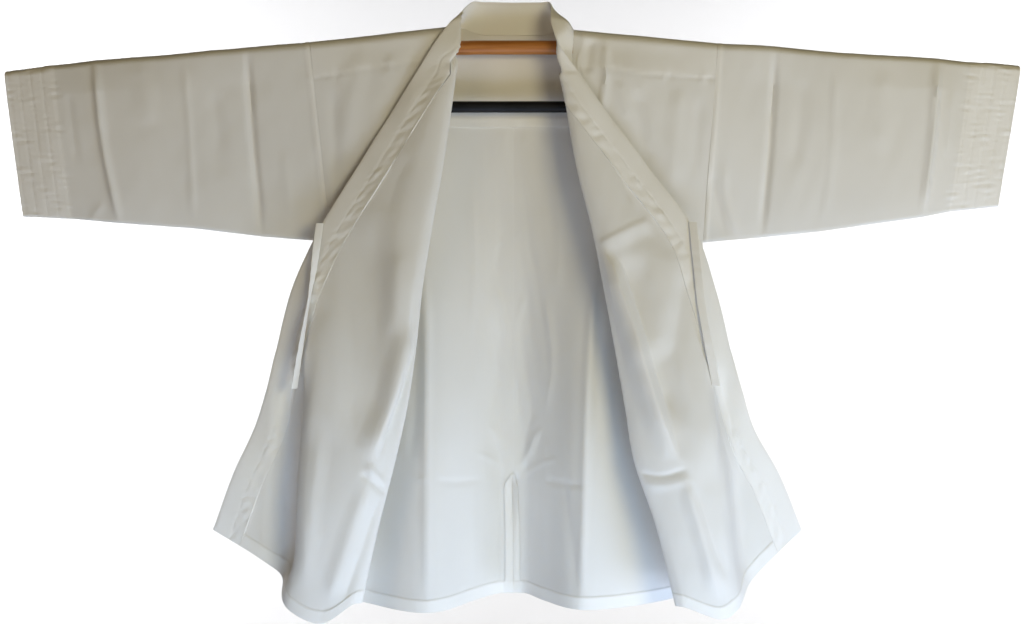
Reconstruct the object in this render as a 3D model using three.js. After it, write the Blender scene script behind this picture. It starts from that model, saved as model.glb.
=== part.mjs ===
// White cotton-blend jacket for sword practice, spread on a kimono hanger with both fronts turned back.
//
// Units are millimetres. +X is the viewer's right, +Z is up, and the viewer stands on the -Y side.
// Depths are given as "out", the distance towards the viewer, so y = -out. The origin is the middle of
// the wooden hanger bar. Left and right are the viewer's. Widths in the tables are measured from the
// middle, so both sides use positive numbers and each side's sign places them.
//
// Every piece of cloth is a grid of points on the middle of the cloth, thickened along its normals.
import * as THREE from "three";

const CLOTH = 1.2; // body and sleeve cloth, with its ease
const HEM_CLOTH = 2.0; // cloth turned up at hems and cuffs
const BAND_CLOTH = 2.2; // collar band, folded over itself
const LINING_CLOTH = 1.0;
const TIE_CLOTH = 1.4;
const SEAM_GAP = 0.3; // pieces stay this far apart where they are sewn
const SPARE = 0.05; // a little more, where a curved wall is drawn with straight sides
const BAND_WIDTH = 45;
const TIE_WIDTH = 11;
const HEM_DEPTH = 18;
const FACING_WIDTH = 12;
const BAR_RADIUS = 10.5;
const LOWER_BAR_RADIUS = 8.5;
const LOWER_BAR_Z = -89;
const LOWER_BAR_HALF = 190;
const LINK_RADIUS = 3;
const LINK_X = 168;

const CENTRE_X = 2; // the centre-back seam stands a little right of the middle
const NECK_X = 92; // half width of the neck hole on the shoulder line
const BAND_GAP = 1; // the band's doubled edge stands this far off the single cloth round the neck
const FIRST_LEVEL = -46; // above this the fronts and the back roll over the hanger's arms
const STRAIGHT_LEVEL = -450; // above this a level is a height; below it, levels run to each line's own hem
const HEM_LEVEL = -840;
const LINING_LEVEL = -120;
const VENT_TOP = -640;
const FACING_CLOTH = 0.8;
const SLEEVE_LENGTH = 299; // of the armhole seam, down the sleeve's flat face
const SIDE_GAP = 2; // half the gap between front and back at the armpit

const point = (x, out, z) => new THREE.Vector3(x, -out, z);
const mix = (a, b, t) => a + (b - a) * t;
const clamp01 = (t) => Math.min(1, Math.max(0, t));
const ease = (t) => t * t * (3 - 2 * t);
const steps = (count) => Array.from({ length: count + 1 }, (_, i) => i / count);

// A table with named columns: one array of values for each name.
function table(names, ...rows) {
  const columns = {};
  names.split(" ").forEach((name, i) => {
    columns[name] = rows.map((row) => row[i]);
  });
  return columns;
}

// The value at x on a smooth curve through (xs, ys): cubic pieces, each knot sloped as the mean of
// the straight pieces beside it.
function smooth(xs, ys, x) {
  const rising = xs.at(-1) > xs[0] ? 1 : -1;
  let i = 0;
  while (i < xs.length - 2 && rising * (x - xs[i + 1]) > 0) i += 1;
  const slope = (k) => (ys[k + 1] - ys[k]) / (xs[k + 1] - xs[k]);
  const knot = (k) => (slope(Math.max(k - 1, 0)) + slope(Math.min(k, xs.length - 2))) / 2;
  const width = xs[i + 1] - xs[i];
  const t = clamp01((x - xs[i]) / width);
  const bend = t * t * t;
  return (
    (2 * bend - 3 * t * t + 1) * ys[i] +
    (bend - 2 * t * t + t) * width * knot(i) +
    (3 * t * t - 2 * bend) * ys[i + 1] +
    (bend - t * t) * width * knot(i + 1)
  );
}

// The value at x on straight pieces through (xs, ys).
function straight(xs, ys, x) {
  let i = 0;
  while (i < xs.length - 2 && x > xs[i + 1]) i += 1;
  return mix(ys[i], ys[i + 1], clamp01((x - xs[i]) / (xs[i + 1] - xs[i])));
}

// Points at the given distances along a chain of points.
function along(chain, distances) {
  const reached = [0];
  for (let i = 1; i < chain.length; i += 1) reached.push(reached[i - 1] + chain[i].distanceTo(chain[i - 1]));
  return distances.map((distance) => {
    let i = 0;
    while (i < chain.length - 2 && reached[i + 1] < distance) i += 1;
    const t = clamp01((distance - reached[i]) / Math.max(reached[i + 1] - reached[i], 1e-6));
    return chain[i].clone().lerp(chain[i + 1], t);
  });
}

const lengthOf = (chain) => chain.reduce((sum, p, i) => (i ? sum + p.distanceTo(chain[i - 1]) : 0), 0);

// A closed solid around a grid of points: each point is moved half the thickness both ways along the
// grid's normal. A looped grid joins its last column to its first. level(row, column) zeroes parts of
// the normal at an edge, so that the edge's face stands square to its neighbour piece.
function wall(grid, thickness, { looped = false, level = null } = {}) {
  const rows = grid.length;
  const cols = grid[0].length;
  const wrap = (c) => (looped ? (c + cols) % cols : Math.min(cols - 1, Math.max(0, c)));
  const positions = [];
  const sides = [1, -1];
  for (const side of sides) {
    for (let r = 0; r < rows; r += 1) {
      for (let c = 0; c < cols; c += 1) {
        const down = grid[Math.min(r + 1, rows - 1)][c].clone().sub(grid[Math.max(r - 1, 0)][c]);
        const across = grid[r][wrap(c + 1)].clone().sub(grid[r][wrap(c - 1)]);
        const normal = across.cross(down).normalize();
        if (level) normal.multiply(level(r, c, rows, cols)).normalize();
        const half = (typeof thickness === "function" ? thickness(r, c) : thickness) / 2;
        const moved = grid[r][c].clone().addScaledVector(normal, side * half);
        positions.push(moved.x, moved.y, moved.z);
      }
    }
  }
  const at = (side, r, c) => (side * rows + r) * cols + wrap(c);
  const spot = (i) => new THREE.Vector3().fromArray(positions, 3 * i);
  const index = [];
  const quad = (a, b, c, d) => {
    if (spot(a).distanceToSquared(spot(c)) <= spot(b).distanceToSquared(spot(d))) {
      index.push(a, b, c, a, c, d);
    } else {
      index.push(b, c, d, b, d, a);
    }
  };
  const lastCol = looped ? cols : cols - 1;
  for (let r = 0; r < rows - 1; r += 1) {
    for (let c = 0; c < lastCol; c += 1) {
      quad(at(0, r, c), at(0, r, c + 1), at(0, r + 1, c + 1), at(0, r + 1, c));
      quad(at(1, r, c), at(1, r + 1, c), at(1, r + 1, c + 1), at(1, r, c + 1));
    }
    if (!looped) {
      quad(at(0, r, 0), at(0, r + 1, 0), at(1, r + 1, 0), at(1, r, 0));
      quad(at(0, r, lastCol), at(1, r, lastCol), at(1, r + 1, lastCol), at(0, r + 1, lastCol));
    }
  }
  for (let c = 0; c < lastCol; c += 1) {
    quad(at(0, 0, c), at(1, 0, c), at(1, 0, c + 1), at(0, 0, c + 1));
    quad(at(0, rows - 1, c), at(0, rows - 1, c + 1), at(1, rows - 1, c + 1), at(1, rows - 1, c));
  }
  let volume = 0;
  for (let i = 0; i < index.length; i += 3) {
    volume += spot(index[i]).dot(spot(index[i + 1]).cross(spot(index[i + 2])));
  }
  if (volume < 0) index.reverse();
  const geometry = new THREE.BufferGeometry();
  geometry.setAttribute("position", new THREE.Float32BufferAttribute(positions, 3));
  geometry.setIndex(index);
  geometry.computeVertexNormals();
  return geometry;
}

// Lines that run down each turned-back front, each with its distance from the middle and its out:
// the fold where the front turns back, then the crest, ridge and valley of the turned-back layer, and
// its free edge. roll is the radius of the turn at the fold.
const FRONT_COLUMNS =
  "z foldX foldOut roll crestX crestOut ridgeX ridgeOut valleyX valleyOut edgeX edgeOut";
const leftFront = table(
  FRONT_COLUMNS,
  [-46, 83, 28, 3, 98, 33, 115, 31, 130, 29, 144, 27],
  [-80, 87, 33, 5, 108, 40, 130, 35, 148, 32, 165, 27],
  [-180, 101, 42, 6, 135, 49, 172, 42, 200, 35, 227, 29],
  [-280, 118, 52, 7, 150, 61, 205, 52, 248, 42, 287, 34],
  [-360, 130, 62, 8, 150, 73, 230, 62, 285, 53, 322, 42],
  [-450, 139, 70, 8, 153, 84, 288, 70, 318, 56, 346, 42],
  [-540, 151, 78, 8, 174, 98, 303, 80, 330, 54, 361, 42],
  [-620, 167, 84, 9, 200, 106, 311, 88, 334, 56, 379, 38],
  [-720, 190, 92, 9, 239, 110, 316, 95, 338, 58, 412, 30],
  [-840, 214, 100, 9, 270, 110, 319, 99, 348, 58, 442, 28],
);
const rightFront = table(
  FRONT_COLUMNS,
  [-46, 70, 31, 3, 80, 36, 88, 35, 95, 34, 101, 32],
  [-80, 77, 34, 4, 92, 40, 104, 38, 115, 36, 124, 33],
  [-180, 94, 43, 6, 120, 51, 150, 45, 175, 39, 199, 32],
  [-280, 118, 53, 7, 150, 64, 200, 53, 236, 45, 271, 36],
  [-360, 133, 62, 8, 160, 76, 225, 63, 268, 53, 298, 42],
  [-450, 149, 70, 8, 183, 90, 262, 72, 297, 56, 321, 42],
  [-540, 163, 78, 9, 218, 102, 285, 82, 312, 56, 338, 42],
  [-620, 175, 85, 9, 241, 108, 306, 89, 328, 57, 355, 40],
  [-720, 206, 93, 9, 276, 112, 316, 96, 338, 58, 395, 30],
  [-840, 233, 100, 9, 298, 112, 319, 101, 349, 59, 428, 28],
);

// The back hangs in two ridges that come forward beside a valley at the centre seam. mid lies halfway
// from the centre to the ridge, outer halfway from the ridge to the side seam.
const BACK_COLUMNS = "z centreOut midOut ridgeX ridgeOut outerOut";
const leftBack = table(
  BACK_COLUMNS,
  [-46, -24, -23, 124, -20, -17],
  [-120, -25, -23, 124, -19, -17],
  [-200, -26, -21, 124, -12, -14],
  [-280, -27, -16, 124, -2, -10],
  [-400, -28, -7, 124, 18, -3],
  [-540, -29, 4, 124, 42, 8],
  [-700, -30, 13, 123, 60, 22],
  [-840, -30, 18, 122, 72, 32],
);
const rightBack = table(
  BACK_COLUMNS,
  [-46, -24, -23, 124, -20, -17],
  [-120, -25, -23, 124, -19, -17],
  [-200, -26, -21, 123, -12, -14],
  [-280, -27, -16, 123, -2, -10],
  [-400, -28, -7, 117, 18, -3],
  [-540, -29, 4, 109, 42, 8],
  [-700, -30, 13, 104, 58, 22],
  [-840, -30, 18, 100, 68, 32],
);

// Sleeves: the top and bottom ends of the armhole seam, three pressed creases, the cuff's inner
// stitching and the cuff's end. shift moves both layers towards the viewer at a crease.
const SLEEVE_COLUMNS = "topX topZ bottomX bottomZ shift";
const leftSleeve = table(
  SLEEVE_COLUMNS,
  [301.3, 7.2, 270.7, -291.2, 0],
  [396.3, -0.3, 373.9, -283, -4],
  [490.5, -9.6, 475.6, -271, 0.5],
  [623.6, -19.7, 584.8, -263.5, 5],
  [683.4, -27.2, 661, -256.5, 1],
  [756.7, -37, 732.8, -253, 0],
);
const rightSleeve = table(
  SLEEVE_COLUMNS,
  [306.6, 5.7, 285.6, -292, 0],
  [394.8, 1.2, 372.4, -284.4, -4],
  [483, -7.8, 462, -275.5, 0.5],
  [637, -16.8, 613, -254.5, 5],
  [685, -22.7, 658, -245.6, 1],
  [758.2, -28.7, 728.3, -238, 0],
);
const ARMHOLE_ROLL = 14; // radius of the cloth over the hanger's arm
const NECK_ROLL = 17; // its radius beside the neck
const sleeveDepth = table(
  "down half", // share of the way down, and half the distance between the two layers
  [0.047, 14],
  [0.15, 13.6],
  [0.3, 12.4],
  [0.5, 10.5],
  [0.7, 8],
  [0.9, 4.4],
  [0.985, 2],
);

// Collar round the neck, from the centre back to where the fronts' own levels begin: the middle of the
// roll and the free edge, each as distance from the middle, out and height. Its seam is the body's edge,
// and place counts that edge's points: six steps along the back's neck, then the front's first rows.
const NECK_COLUMNS = "place rollX rollOut rollZ edgeX edgeOut edgeZ";
const leftNeck = table(
  NECK_COLUMNS,
  [0, 0, -25.5, 49, 0, -24.5, 73],
  [2, 44, -25, 50, 42, -23, 73.5],
  [4, 67, -17, 51, 61, -14, 71],
  [6, 74, 2, 50, 83, 7, 45],
  [10, 77, 18, 19, 98, 18, 27],
  [12, 80, 28, -12, 118, 25, -3],
);
const rightNeck = table(
  NECK_COLUMNS,
  [0, 0, -25.5, 49, 0, -24.5, 73],
  [2, 44, -25, 50, 42, -23, 73],
  [4, 65, -17, 51, 57, -14, 71],
  [6, 77, 7, 43, 58, 9, 50],
  [10, 80, 23, 21, 60, 23, 25],
  [12, 66, 29, -10, 71, 34, -5],
);

// Ties: they hang from the band's free edge. turn is the angle between the tie's width and the view.
const TIE_COLUMNS = "z x out turn";
const leftTie = table(
  TIE_COLUMNS,
  [-266, 283, 37, 12],
  [-300, 286, 47, 25],
  [-340, 290, 56, 55],
  [-379, 295, 64, 80],
  [-440, 304, 74, 62],
  [-507, 314, 78, 48],
);
const rightTie = table(
  TIE_COLUMNS,
  [-264, 266, 38.7, 10],
  [-300, 268, 48, 20],
  [-340, 271, 57, 30],
  [-379, 274, 64, 30],
  [-440, 283, 75, 55],
  [-503, 294, 79, 62],
);

const left = {
  name: "left",
  sign: -1,
  front: leftFront,
  back: leftBack,
  sleeve: leftSleeve,
  neck: leftNeck,
  tie: leftTie,
  neckZ: 31,
  hemSideX: 303,
  frontHem: { side: -806, under: -812, fold: -811, crest: -838, ridge: -820, valley: -775, edge: -716 },
  backHem: { centre: -824, mid: -826, ridge: -832, outer: -826, side: -808 },
};
const right = {
  name: "right",
  sign: 1,
  front: rightFront,
  back: rightBack,
  sleeve: rightSleeve,
  neck: rightNeck,
  tie: rightTie,
  neckZ: 26,
  hemSideX: 308,
  frontHem: { side: -806, under: -812, fold: -815, crest: -832, ridge: -822, valley: -790, edge: -716 },
  backHem: { centre: -824, mid: -826, ridge: -828, outer: -826, side: -808 },
};

// Height of the shoulder line at a distance from the middle.
function shoulderZ(side, x) {
  return mix(side.neckZ, side.sleeve.topZ[0], (x - NECK_X) / (side.sleeve.topX[0] - NECK_X));
}

// Height of a line at a level: the level itself, or below STRAIGHT_LEVEL a share of the way to its hem.
function heightAt(level, hem) {
  const share = (level - STRAIGHT_LEVEL) / (HEM_LEVEL - STRAIGHT_LEVEL);
  return level > STRAIGHT_LEVEL ? level : mix(STRAIGHT_LEVEL, hem, share);
}

const SIDE_OUT = 6; // the side seam comes forward by this towards the hem
const SIDE_BLEND = 12; // the side seam's changes take one twelfth of its length
const HEM_SHARE = 0.88; // from here down the side seam makes room for the hem

// Where the body's outer edge is at a height: the armhole seam, and the side seam below it.
function outerEdge(side, z) {
  const { topX, topZ, bottomX, bottomZ } = side.sleeve;
  const down = (z - topZ[0]) / (bottomZ[0] - topZ[0]);
  const seamHalf = (CLOTH + SEAM_GAP) / 2;
  if (down < 1) {
    const half = smooth(sleeveDepth.down, sleeveDepth.half, down);
    return { x: mix(topX[0], bottomX[0], down), half: Math.max(seamHalf, half), middle: 0 };
  }
  const share = (z - bottomZ[0]) / (side.frontHem.side - bottomZ[0]);
  const hemmed = ((HEM_CLOTH - CLOTH) / 2) * clamp01((share - HEM_SHARE) * SIDE_BLEND);
  const half = mix(SIDE_GAP, seamHalf, clamp01(share * SIDE_BLEND)) + hemmed;
  return { x: mix(bottomX[0], side.hemSideX, share), half, middle: SIDE_OUT * ease(clamp01(share)) };
}

const PIECE_STEPS = 14; // points along each stretch of a section between two lines
const FOLD_LINE = 4; // place of the fold among the section's lines
const UNDER_PLACES = [0.35, 0.72]; // shares of the way across the under layer, where lines run down it
const UNDER_LEAN = 0.94; // the under layer stays a little flatter than a straight way to the fold
const TURN = 1.2; // the layers leave the fold this many radii beside it

// One front across: from the side seam in to the fold and out again to the free edge, at a level.
function frontSection(side, level) {
  const get = (name) => smooth(side.front.z, side.front[name], level);
  const hem = side.frontHem;
  const sideZ = heightAt(level, hem.side);
  const outer = outerEdge(side, sideZ);
  const sideOut = outer.middle + outer.half;
  const roll = get("roll");
  const foldX = get("foldX");
  const foldOut = get("foldOut");
  const turnX = foldX + TURN * roll;
  const under = (share) => [mix(outer.x, turnX, share), mix(sideOut, foldOut - roll, share * UNDER_LEAN), hem.under];
  const lines = [
    [outer.x, sideOut, hem.side],
    ...UNDER_PLACES.map(under),
    [turnX, foldOut - roll, hem.fold],
    [foldX, foldOut, hem.fold],
    [turnX, foldOut + roll, hem.fold],
    [get("crestX"), get("crestOut"), hem.crest],
    [get("ridgeX"), get("ridgeOut"), hem.ridge],
    [get("valleyX"), get("valleyOut"), hem.valley],
    [get("edgeX"), get("edgeOut"), hem.edge],
  ];
  const knots = lines.map(([x, out, hemZ]) => point(side.sign * x, out, heightAt(level, hemZ)));
  const curve = new THREE.CatmullRomCurve3(knots, false, "centripetal");
  return curve.getPoints((knots.length - 1) * PIECE_STEPS);
}

const EDGE_STEP = 6; // the edge's direction is taken this far above and below a level

// How far the band reaches along a section: its width, more where the section crosses it aslant.
function bandReach(side, level) {
  const here = frontSection(side, level);
  const above = frontSection(side, Math.min(level + EDGE_STEP, FIRST_LEVEL)).at(-1);
  const below = frontSection(side, Math.max(level - EDGE_STEP, HEM_LEVEL)).at(-1);
  const edge = below.clone().sub(above).normalize();
  const across = here.at(-1).clone().sub(here.at(-PIECE_STEPS)).normalize();
  return BAND_WIDTH / across.cross(edge).length();
}

const UNDER_STEPS = 6;
const FOLD_STEPS = 6;
const OVER_STEPS = 9;
const FOLD_REACH = 1.9; // the close columns reach this many radii each way from the fold
const FOLD_ROOM = 4; // and stay this far from the band

// Distances along a section of a front's columns: close together round the fold.
function frontColumns(side, level) {
  const section = frontSection(side, level);
  const nearNeck = clamp01((level - LINING_LEVEL) / (FIRST_LEVEL - LINING_LEVEL));
  const gap = mix(SEAM_GAP, BAND_GAP + SEAM_GAP, nearNeck);
  const end = lengthOf(section) - bandReach(side, level) + SEAM_GAP / 2 - gap;
  const roll = smooth(side.front.z, side.front.roll, level);
  const reach = FOLD_REACH * roll;
  const fold = Math.min(lengthOf(section.slice(0, FOLD_LINE * PIECE_STEPS + 1)), end - reach - FOLD_ROOM);
  return [
    ...steps(UNDER_STEPS).map((t) => mix(0, fold - reach, t)),
    ...steps(FOLD_STEPS).slice(1).map((t) => mix(fold - reach, fold + reach, t)),
    ...steps(OVER_STEPS).slice(1).map((t) => mix(fold + reach, end, t)),
  ];
}

const ROLL_ROWS = 8;
const ROLL_POWER = 1.4; // rows lie closer together on the roll than below it

// Points from the shoulder line down to a point of the first level: first round the hanger's arm,
// then down to it. facing is 1 for the front and -1 for the back.
function overShoulder(x, z, roll, start, facing, sign, target) {
  const arc = steps(8).map((t) => {
    const angle = mix(start, Math.PI / 2, t);
    return [facing * roll * Math.sin(angle), z - roll * (1 - Math.cos(angle))];
  });
  const drop = steps(10).slice(1).map((t) => [
    mix(facing * roll, -target.y, ease(t)),
    mix(z - roll, target.z, t),
  ]);
  const topZ = arc[0][1];
  const chain = [...arc, ...drop].map(([out, height]) => {
    const share = (topZ - height) / (topZ - target.z);
    return point(mix(sign * x, target.x, share), out, height);
  });
  return along(chain, steps(ROLL_ROWS).map((t) => lengthOf(chain) * t ** ROLL_POWER));
}

const levels = (first, last, count) => steps(count).map((t) => mix(first, last, t));
const ARMPIT_LEVEL = -292;
const upperAndLower = (above, below) => [
  ...levels(FIRST_LEVEL, ARMPIT_LEVEL, above),
  ...levels(ARMPIT_LEVEL, HEM_LEVEL, below).slice(1),
];
const FRONT_LEVELS = upperAndLower(9, 19);
const BACK_LEVELS = upperAndLower(7, 14);

const transpose = (grid) => grid[0].map((_, c) => grid.map((row) => row[c]));

// The whole front of one side, from the shoulder line to the hem.
function frontGrid(side) {
  const rows = FRONT_LEVELS.map((level) => along(frontSection(side, level), frontColumns(side, level)));
  const distances = frontColumns(side, FIRST_LEVEL);
  const top = rows[0].map((target, c) => {
    const share = distances[c] / distances.at(-1);
    const x = mix(side.sleeve.topX[0], NECK_X, share);
    const roll = mix(ARMHOLE_ROLL, NECK_ROLL, share);
    return overShoulder(x, shoulderZ(side, x), roll, 0, 1, side.sign, target);
  });
  const over = transpose(top).slice(0, -1);
  over[0].forEach((p) => (p.y = -SEAM_GAP / 2));
  return [...over, ...rows];
}

// Columns of the back, by their distance from the middle at the shoulder.
const BACK_X = [0, 23, 45, 60, 72, 82, 92, 110, 128, 150, 174, 198, 223, 248, 274];
const backShares = (side) => [...BACK_X, side.sleeve.topX[0]].map((x) => x / side.sleeve.topX[0]);
const backNeck = table(
  "x start roll z", // start is the angle, in quarter turns, at which the cloth leaves the neck seam
  [0, 1, 24, 48],
  [50, 0.96, 24, 48.5],
  [72, 0.72, 21, 44],
  [86, 0.3, 18.5, 33],
  [92, 0, 17, 30], // z here gives way to the side's own neckZ
);

const NEAR_CENTRE = 0.17; // share of the way to the ridge, where the valley's floor ends
const FLOOR_RISE = 1.5; // and how far that line stands before the centre seam

// One half of the back across at a level, from the centre seam to the side seam.
function backSection(side, level) {
  const get = (name) => smooth(side.back.z, side.back[name], level);
  const hem = side.backHem;
  const outer = outerEdge(side, heightAt(level, hem.side));
  const ridgeX = get("ridgeX");
  const middle = side.sign * CENTRE_X;
  const sideOut = outer.middle - outer.half;
  const lines = [
    [middle, get("centreOut"), hem.centre],
    [mix(middle, ridgeX, NEAR_CENTRE), get("centreOut") + FLOOR_RISE, hem.centre],
    [mix(middle, ridgeX, 0.5), get("midOut"), hem.mid],
    [ridgeX, get("ridgeOut"), hem.ridge],
    [mix(ridgeX, outer.x, 0.5), get("outerOut"), hem.outer],
    [outer.x, sideOut, hem.side],
  ];
  const knots = lines.map(([x, out, hemZ]) => point(side.sign * x, out, heightAt(level, hemZ)));
  const curve = new THREE.CatmullRomCurve3(knots, false, "centripetal");
  return curve.getPoints((knots.length - 1) * PIECE_STEPS);
}

// A point of the back's neck edge, at a distance from the middle.
function neckEdge(side, x) {
  const get = (name) => smooth(backNeck.x, backNeck[name], x);
  const start = (clamp01(get("start")) * Math.PI) / 2;
  const z = get("z") - (x / NECK_X) ** 4 * (backNeck.z.at(-1) - side.neckZ);
  return { start, z, roll: get("roll") };
}

// Half the gap at the centre seam: closed above the vent, open by a few millimetres in it.
const ventGap = table("z half", [-640, 0.15], [-655, 1.8], [-690, 1.4], [-730, 0.5], [-840, 1.2]);

function backGrid(side) {
  const rows = BACK_LEVELS.map((level) => {
    const section = backSection(side, level);
    const row = along(section, backShares(side).map((t) => t * lengthOf(section)));
    const gap = straight(ventGap.z.map((z) => -z), ventGap.half, -row[0].z);
    row[0].x = CENTRE_X + side.sign * gap;
    return row;
  });
  const top = rows[0].map((target, c) => {
    const x = backShares(side)[c] * side.sleeve.topX[0];
    if (x > NECK_X) {
      const roll = mix(NECK_ROLL, ARMHOLE_ROLL, (x - NECK_X) / (side.sleeve.topX[0] - NECK_X));
      return overShoulder(x, shoulderZ(side, x), roll, 0, -1, side.sign, target);
    }
    const { start, z, roll } = neckEdge(side, x);
    const chain = overShoulder(x, z, roll, start, -1, side.sign, target);
    if (c === 0) chain.forEach((p) => (p.x = CENTRE_X + (side.sign * SEAM_GAP) / 2));
    return chain;
  });
  const over = transpose(top).slice(0, -1);
  over[0].forEach((p) => {
    if (p.y < SEAM_GAP / 2) p.y = SEAM_GAP / 2;
  });
  return [...over, ...rows];
}

const BAND_STEPS = 5;
const BAND_LIFT = 1.2; // the band lies on the front where the neck's rows meet the fronts' rows

// The band's points across it at one of the front's levels, from the seam to the free edge.
function bandRow(side, level) {
  const section = frontSection(side, level);
  const end = lengthOf(section);
  const reach = bandReach(side, level) - SEAM_GAP / 2;
  return along(section, steps(BAND_STEPS).map((t) => end - reach * (1 - t)));
}

const NECK_PLACES = BACK_X.indexOf(NECK_X);

// The band's points across it round the neck, a row for each point of the body's neck edge.
function neckRows(side) {
  const onBack = BACK_X.slice(0, NECK_PLACES).map((x) => {
    const { start, z, roll } = neckEdge(side, x);
    return point(side.sign * x, -roll * Math.sin(start), z - roll * (1 - Math.cos(start)));
  });
  const onFront = frontGrid(side).slice(0, ROLL_ROWS).map((row) => row.at(-1));
  const last = bandRow(side, FIRST_LEVEL);
  const middle = along(last, [lengthOf(last) / 2])[0];
  return [...onBack, ...onFront].map((seam, place) => {
    const shift = place === 0 ? CENTRE_X : 0;
    const places = [...side.neck.place, NECK_PLACES + ROLL_ROWS];
    const [roll, edge] = [["roll", middle], ["edge", last.at(-1)]].map(([name, end]) => {
      const at = (axis, final) => smooth(places, [...side.neck[name + axis], final], place);
      return point(side.sign * at("X", Math.abs(end.x)) + shift, at("Out", -end.y), at("Z", end.z));
    });
    const over = place > NECK_PLACES + ROLL_ROWS - 3 ? BAND_LIFT : 0;
    const start = seam.clone().add(new THREE.Vector3(shift, -over, 0));
    const chain = new THREE.CatmullRomCurve3([start, roll, edge], false, "centripetal").getPoints(24);
    const lift = BAND_GAP / lengthOf(chain);
    return along(chain, steps(BAND_STEPS).map((t) => mix(lift, 1, t) * lengthOf(chain)));
  });
}

// The collar band in one length: up one front, round the neck and down the other.
function collarGrid() {
  const whole = (side) => [...neckRows(side), ...FRONT_LEVELS.map((level) => bandRow(side, level))];
  return [...whole(left).reverse(), ...whole(right).slice(1)];
}

// Half of the sleeve's section: share of the way down and half depth, from the top to the bottom.
function sleeveHalf() {
  const reach = ARMHOLE_ROLL / SLEEVE_LENGTH;
  const arc = [20, 42, 66, 90].map((degrees) => {
    const angle = THREE.MathUtils.degToRad(degrees);
    return [reach * (1 - Math.cos(angle)), ARMHOLE_ROLL * Math.sin(angle)];
  });
  const face = [0.14, 0.3, 0.5, 0.7, 0.88, 0.985].map((down) => [
    down,
    smooth(sleeveDepth.down, sleeveDepth.half, down),
  ]);
  return [...arc, ...face];
}

const SLEEVE_PARTS = 3; // rows between one crease and the next
const SHIFT_FADE = 5; // a crease's shift is reached a fifth of the way down

function sleeveGrid(side) {
  const half = sleeveHalf();
  const loop = [
    [0, 0],
    ...half,
    [1, 0],
    ...half.map(([down, depth]) => [down, -depth]).reverse(),
  ];
  const creases = side.sleeve.topX.length - 1;
  return steps(creases * SLEEVE_PARTS).map((share, row) => {
    const place = share * creases;
    const at = (name) => straight(steps(creases).map((t) => t * creases), side.sleeve[name], place);
    const gap = row === 0 ? SEAM_GAP + SPARE : 0;
    return loop.map(([down, depth]) =>
      point(
        side.sign * (mix(at("topX"), at("bottomX"), down) + gap),
        depth + at("shift") * clamp01(down * SHIFT_FADE),
        mix(at("topZ"), at("bottomZ"), down),
      ),
    );
  });
}

// A strap along a path of points, its width turned by the path's own angles.
function tieGrid(side) {
  const { z, x, out, turn } = side.tie;
  return levels(z[0], z.at(-1), 12).map((height) => {
    const angle = THREE.MathUtils.degToRad(smooth(z, turn, height));
    const middle = point(side.sign * smooth(z, x, height), smooth(z, out, height), height);
    const half = point(Math.cos(angle) * side.sign, Math.sin(angle), 0).multiplyScalar(TIE_WIDTH / 2);
    return [middle.clone().sub(half), middle.clone(), middle.clone().add(half)];
  });
}

// Points of a grid moved along its normals, towards the viewer.
function raised(grid, distance) {
  return grid.map((row, r) =>
    row.map((p, c) => {
      const down = grid[Math.min(r + 1, grid.length - 1)][c].clone().sub(grid[Math.max(r - 1, 0)][c]);
      const across = row[Math.min(c + 1, row.length - 1)].clone().sub(row[Math.max(c - 1, 0)]);
      const normal = across.cross(down).normalize();
      if (normal.y > 0) normal.negate();
      return p.clone().addScaledVector(normal, distance);
    }),
  );
}

const LINING_OFFSET = CLOTH / 2 + SEAM_GAP + LINING_CLOTH / 2 + 3 * SPARE;

const LINING_PLACES = [1, 3, 4, 5, 6, 7, 8, 10, 12, 15]; // the back's columns that it uses

// The yoke lining lies inside the back, from one armhole to the other.
function liningGrid() {
  const rows = ROLL_ROWS + BACK_LEVELS.filter((level) => level > LINING_LEVEL).length + 1;
  const halves = [left, right].map((side) => raised(backGrid(side).slice(1, rows), LINING_OFFSET));
  const some = (row) => LINING_PLACES.map((c) => row[c]);
  return halves[0].map((row, r) => [...some(row).reverse(), ...some(halves[1][r])]);
}

const FACING_OFFSET = CLOTH + 2 * SEAM_GAP;
const FACING_INSET = 0.5; // from the slit's edge

// Facing of the centre vent: a strip on the inside of one half of the back, beside the slit.
function facingGrid(side) {
  const rows = backGrid(side).filter((row) => row[0].z < VENT_TOP && row[0].z > side.backHem.centre + HEM_DEPTH);
  return rows.map((row) =>
    steps(3).map((t) => {
      const p = row[0].clone().lerp(row[1], mix(FACING_INSET, FACING_WIDTH, t) / row[0].distanceTo(row[1]));
      p.y -= FACING_OFFSET;
      return p;
    }),
  );
}

// Depth of the bar's middle below the cloth that rests on it, without and with the lining between.
const SLEEVE_SINK = CLOTH / 2 + SEAM_GAP + BAR_RADIUS + 8 * SPARE;
const SHOULDER_SINK = SLEEVE_SINK + 2 * LINING_CLOTH + SEAM_GAP + 2 * SPARE;

const ON_SHOULDER = [150, 220, 290]; // the bar's points under a shoulder
const IN_OPENING = [-88, -50, 0, 40, 70]; // and in the neck opening
const BAR_INSET = 60; // its end lies this far inside the cuff

// The wooden bar is straight in the neck opening, rises to the shoulders and slopes into the sleeves.
function hangerPath() {
  const arm = (side) => {
    const { topX, topZ } = side.sleeve;
    const onShoulder = ON_SHOULDER.map((x) =>
      point(side.sign * x, 0, shoulderZ(side, x) - SHOULDER_SINK),
    );
    const inSleeve = [1, 2, 3].map((i) => point(side.sign * topX[i], 0, topZ[i] - SLEEVE_SINK));
    const end = point(side.sign * (topX[5] - BAR_INSET), 0, mix(topZ[4], topZ[5], 0.3) - SLEEVE_SINK);
    return [...onShoulder, ...inSleeve, end];
  };
  const middle = IN_OPENING.map((x) => point(x, 0, 0));
  return [...arm(left).reverse(), ...middle, ...arm(right)];
}

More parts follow.
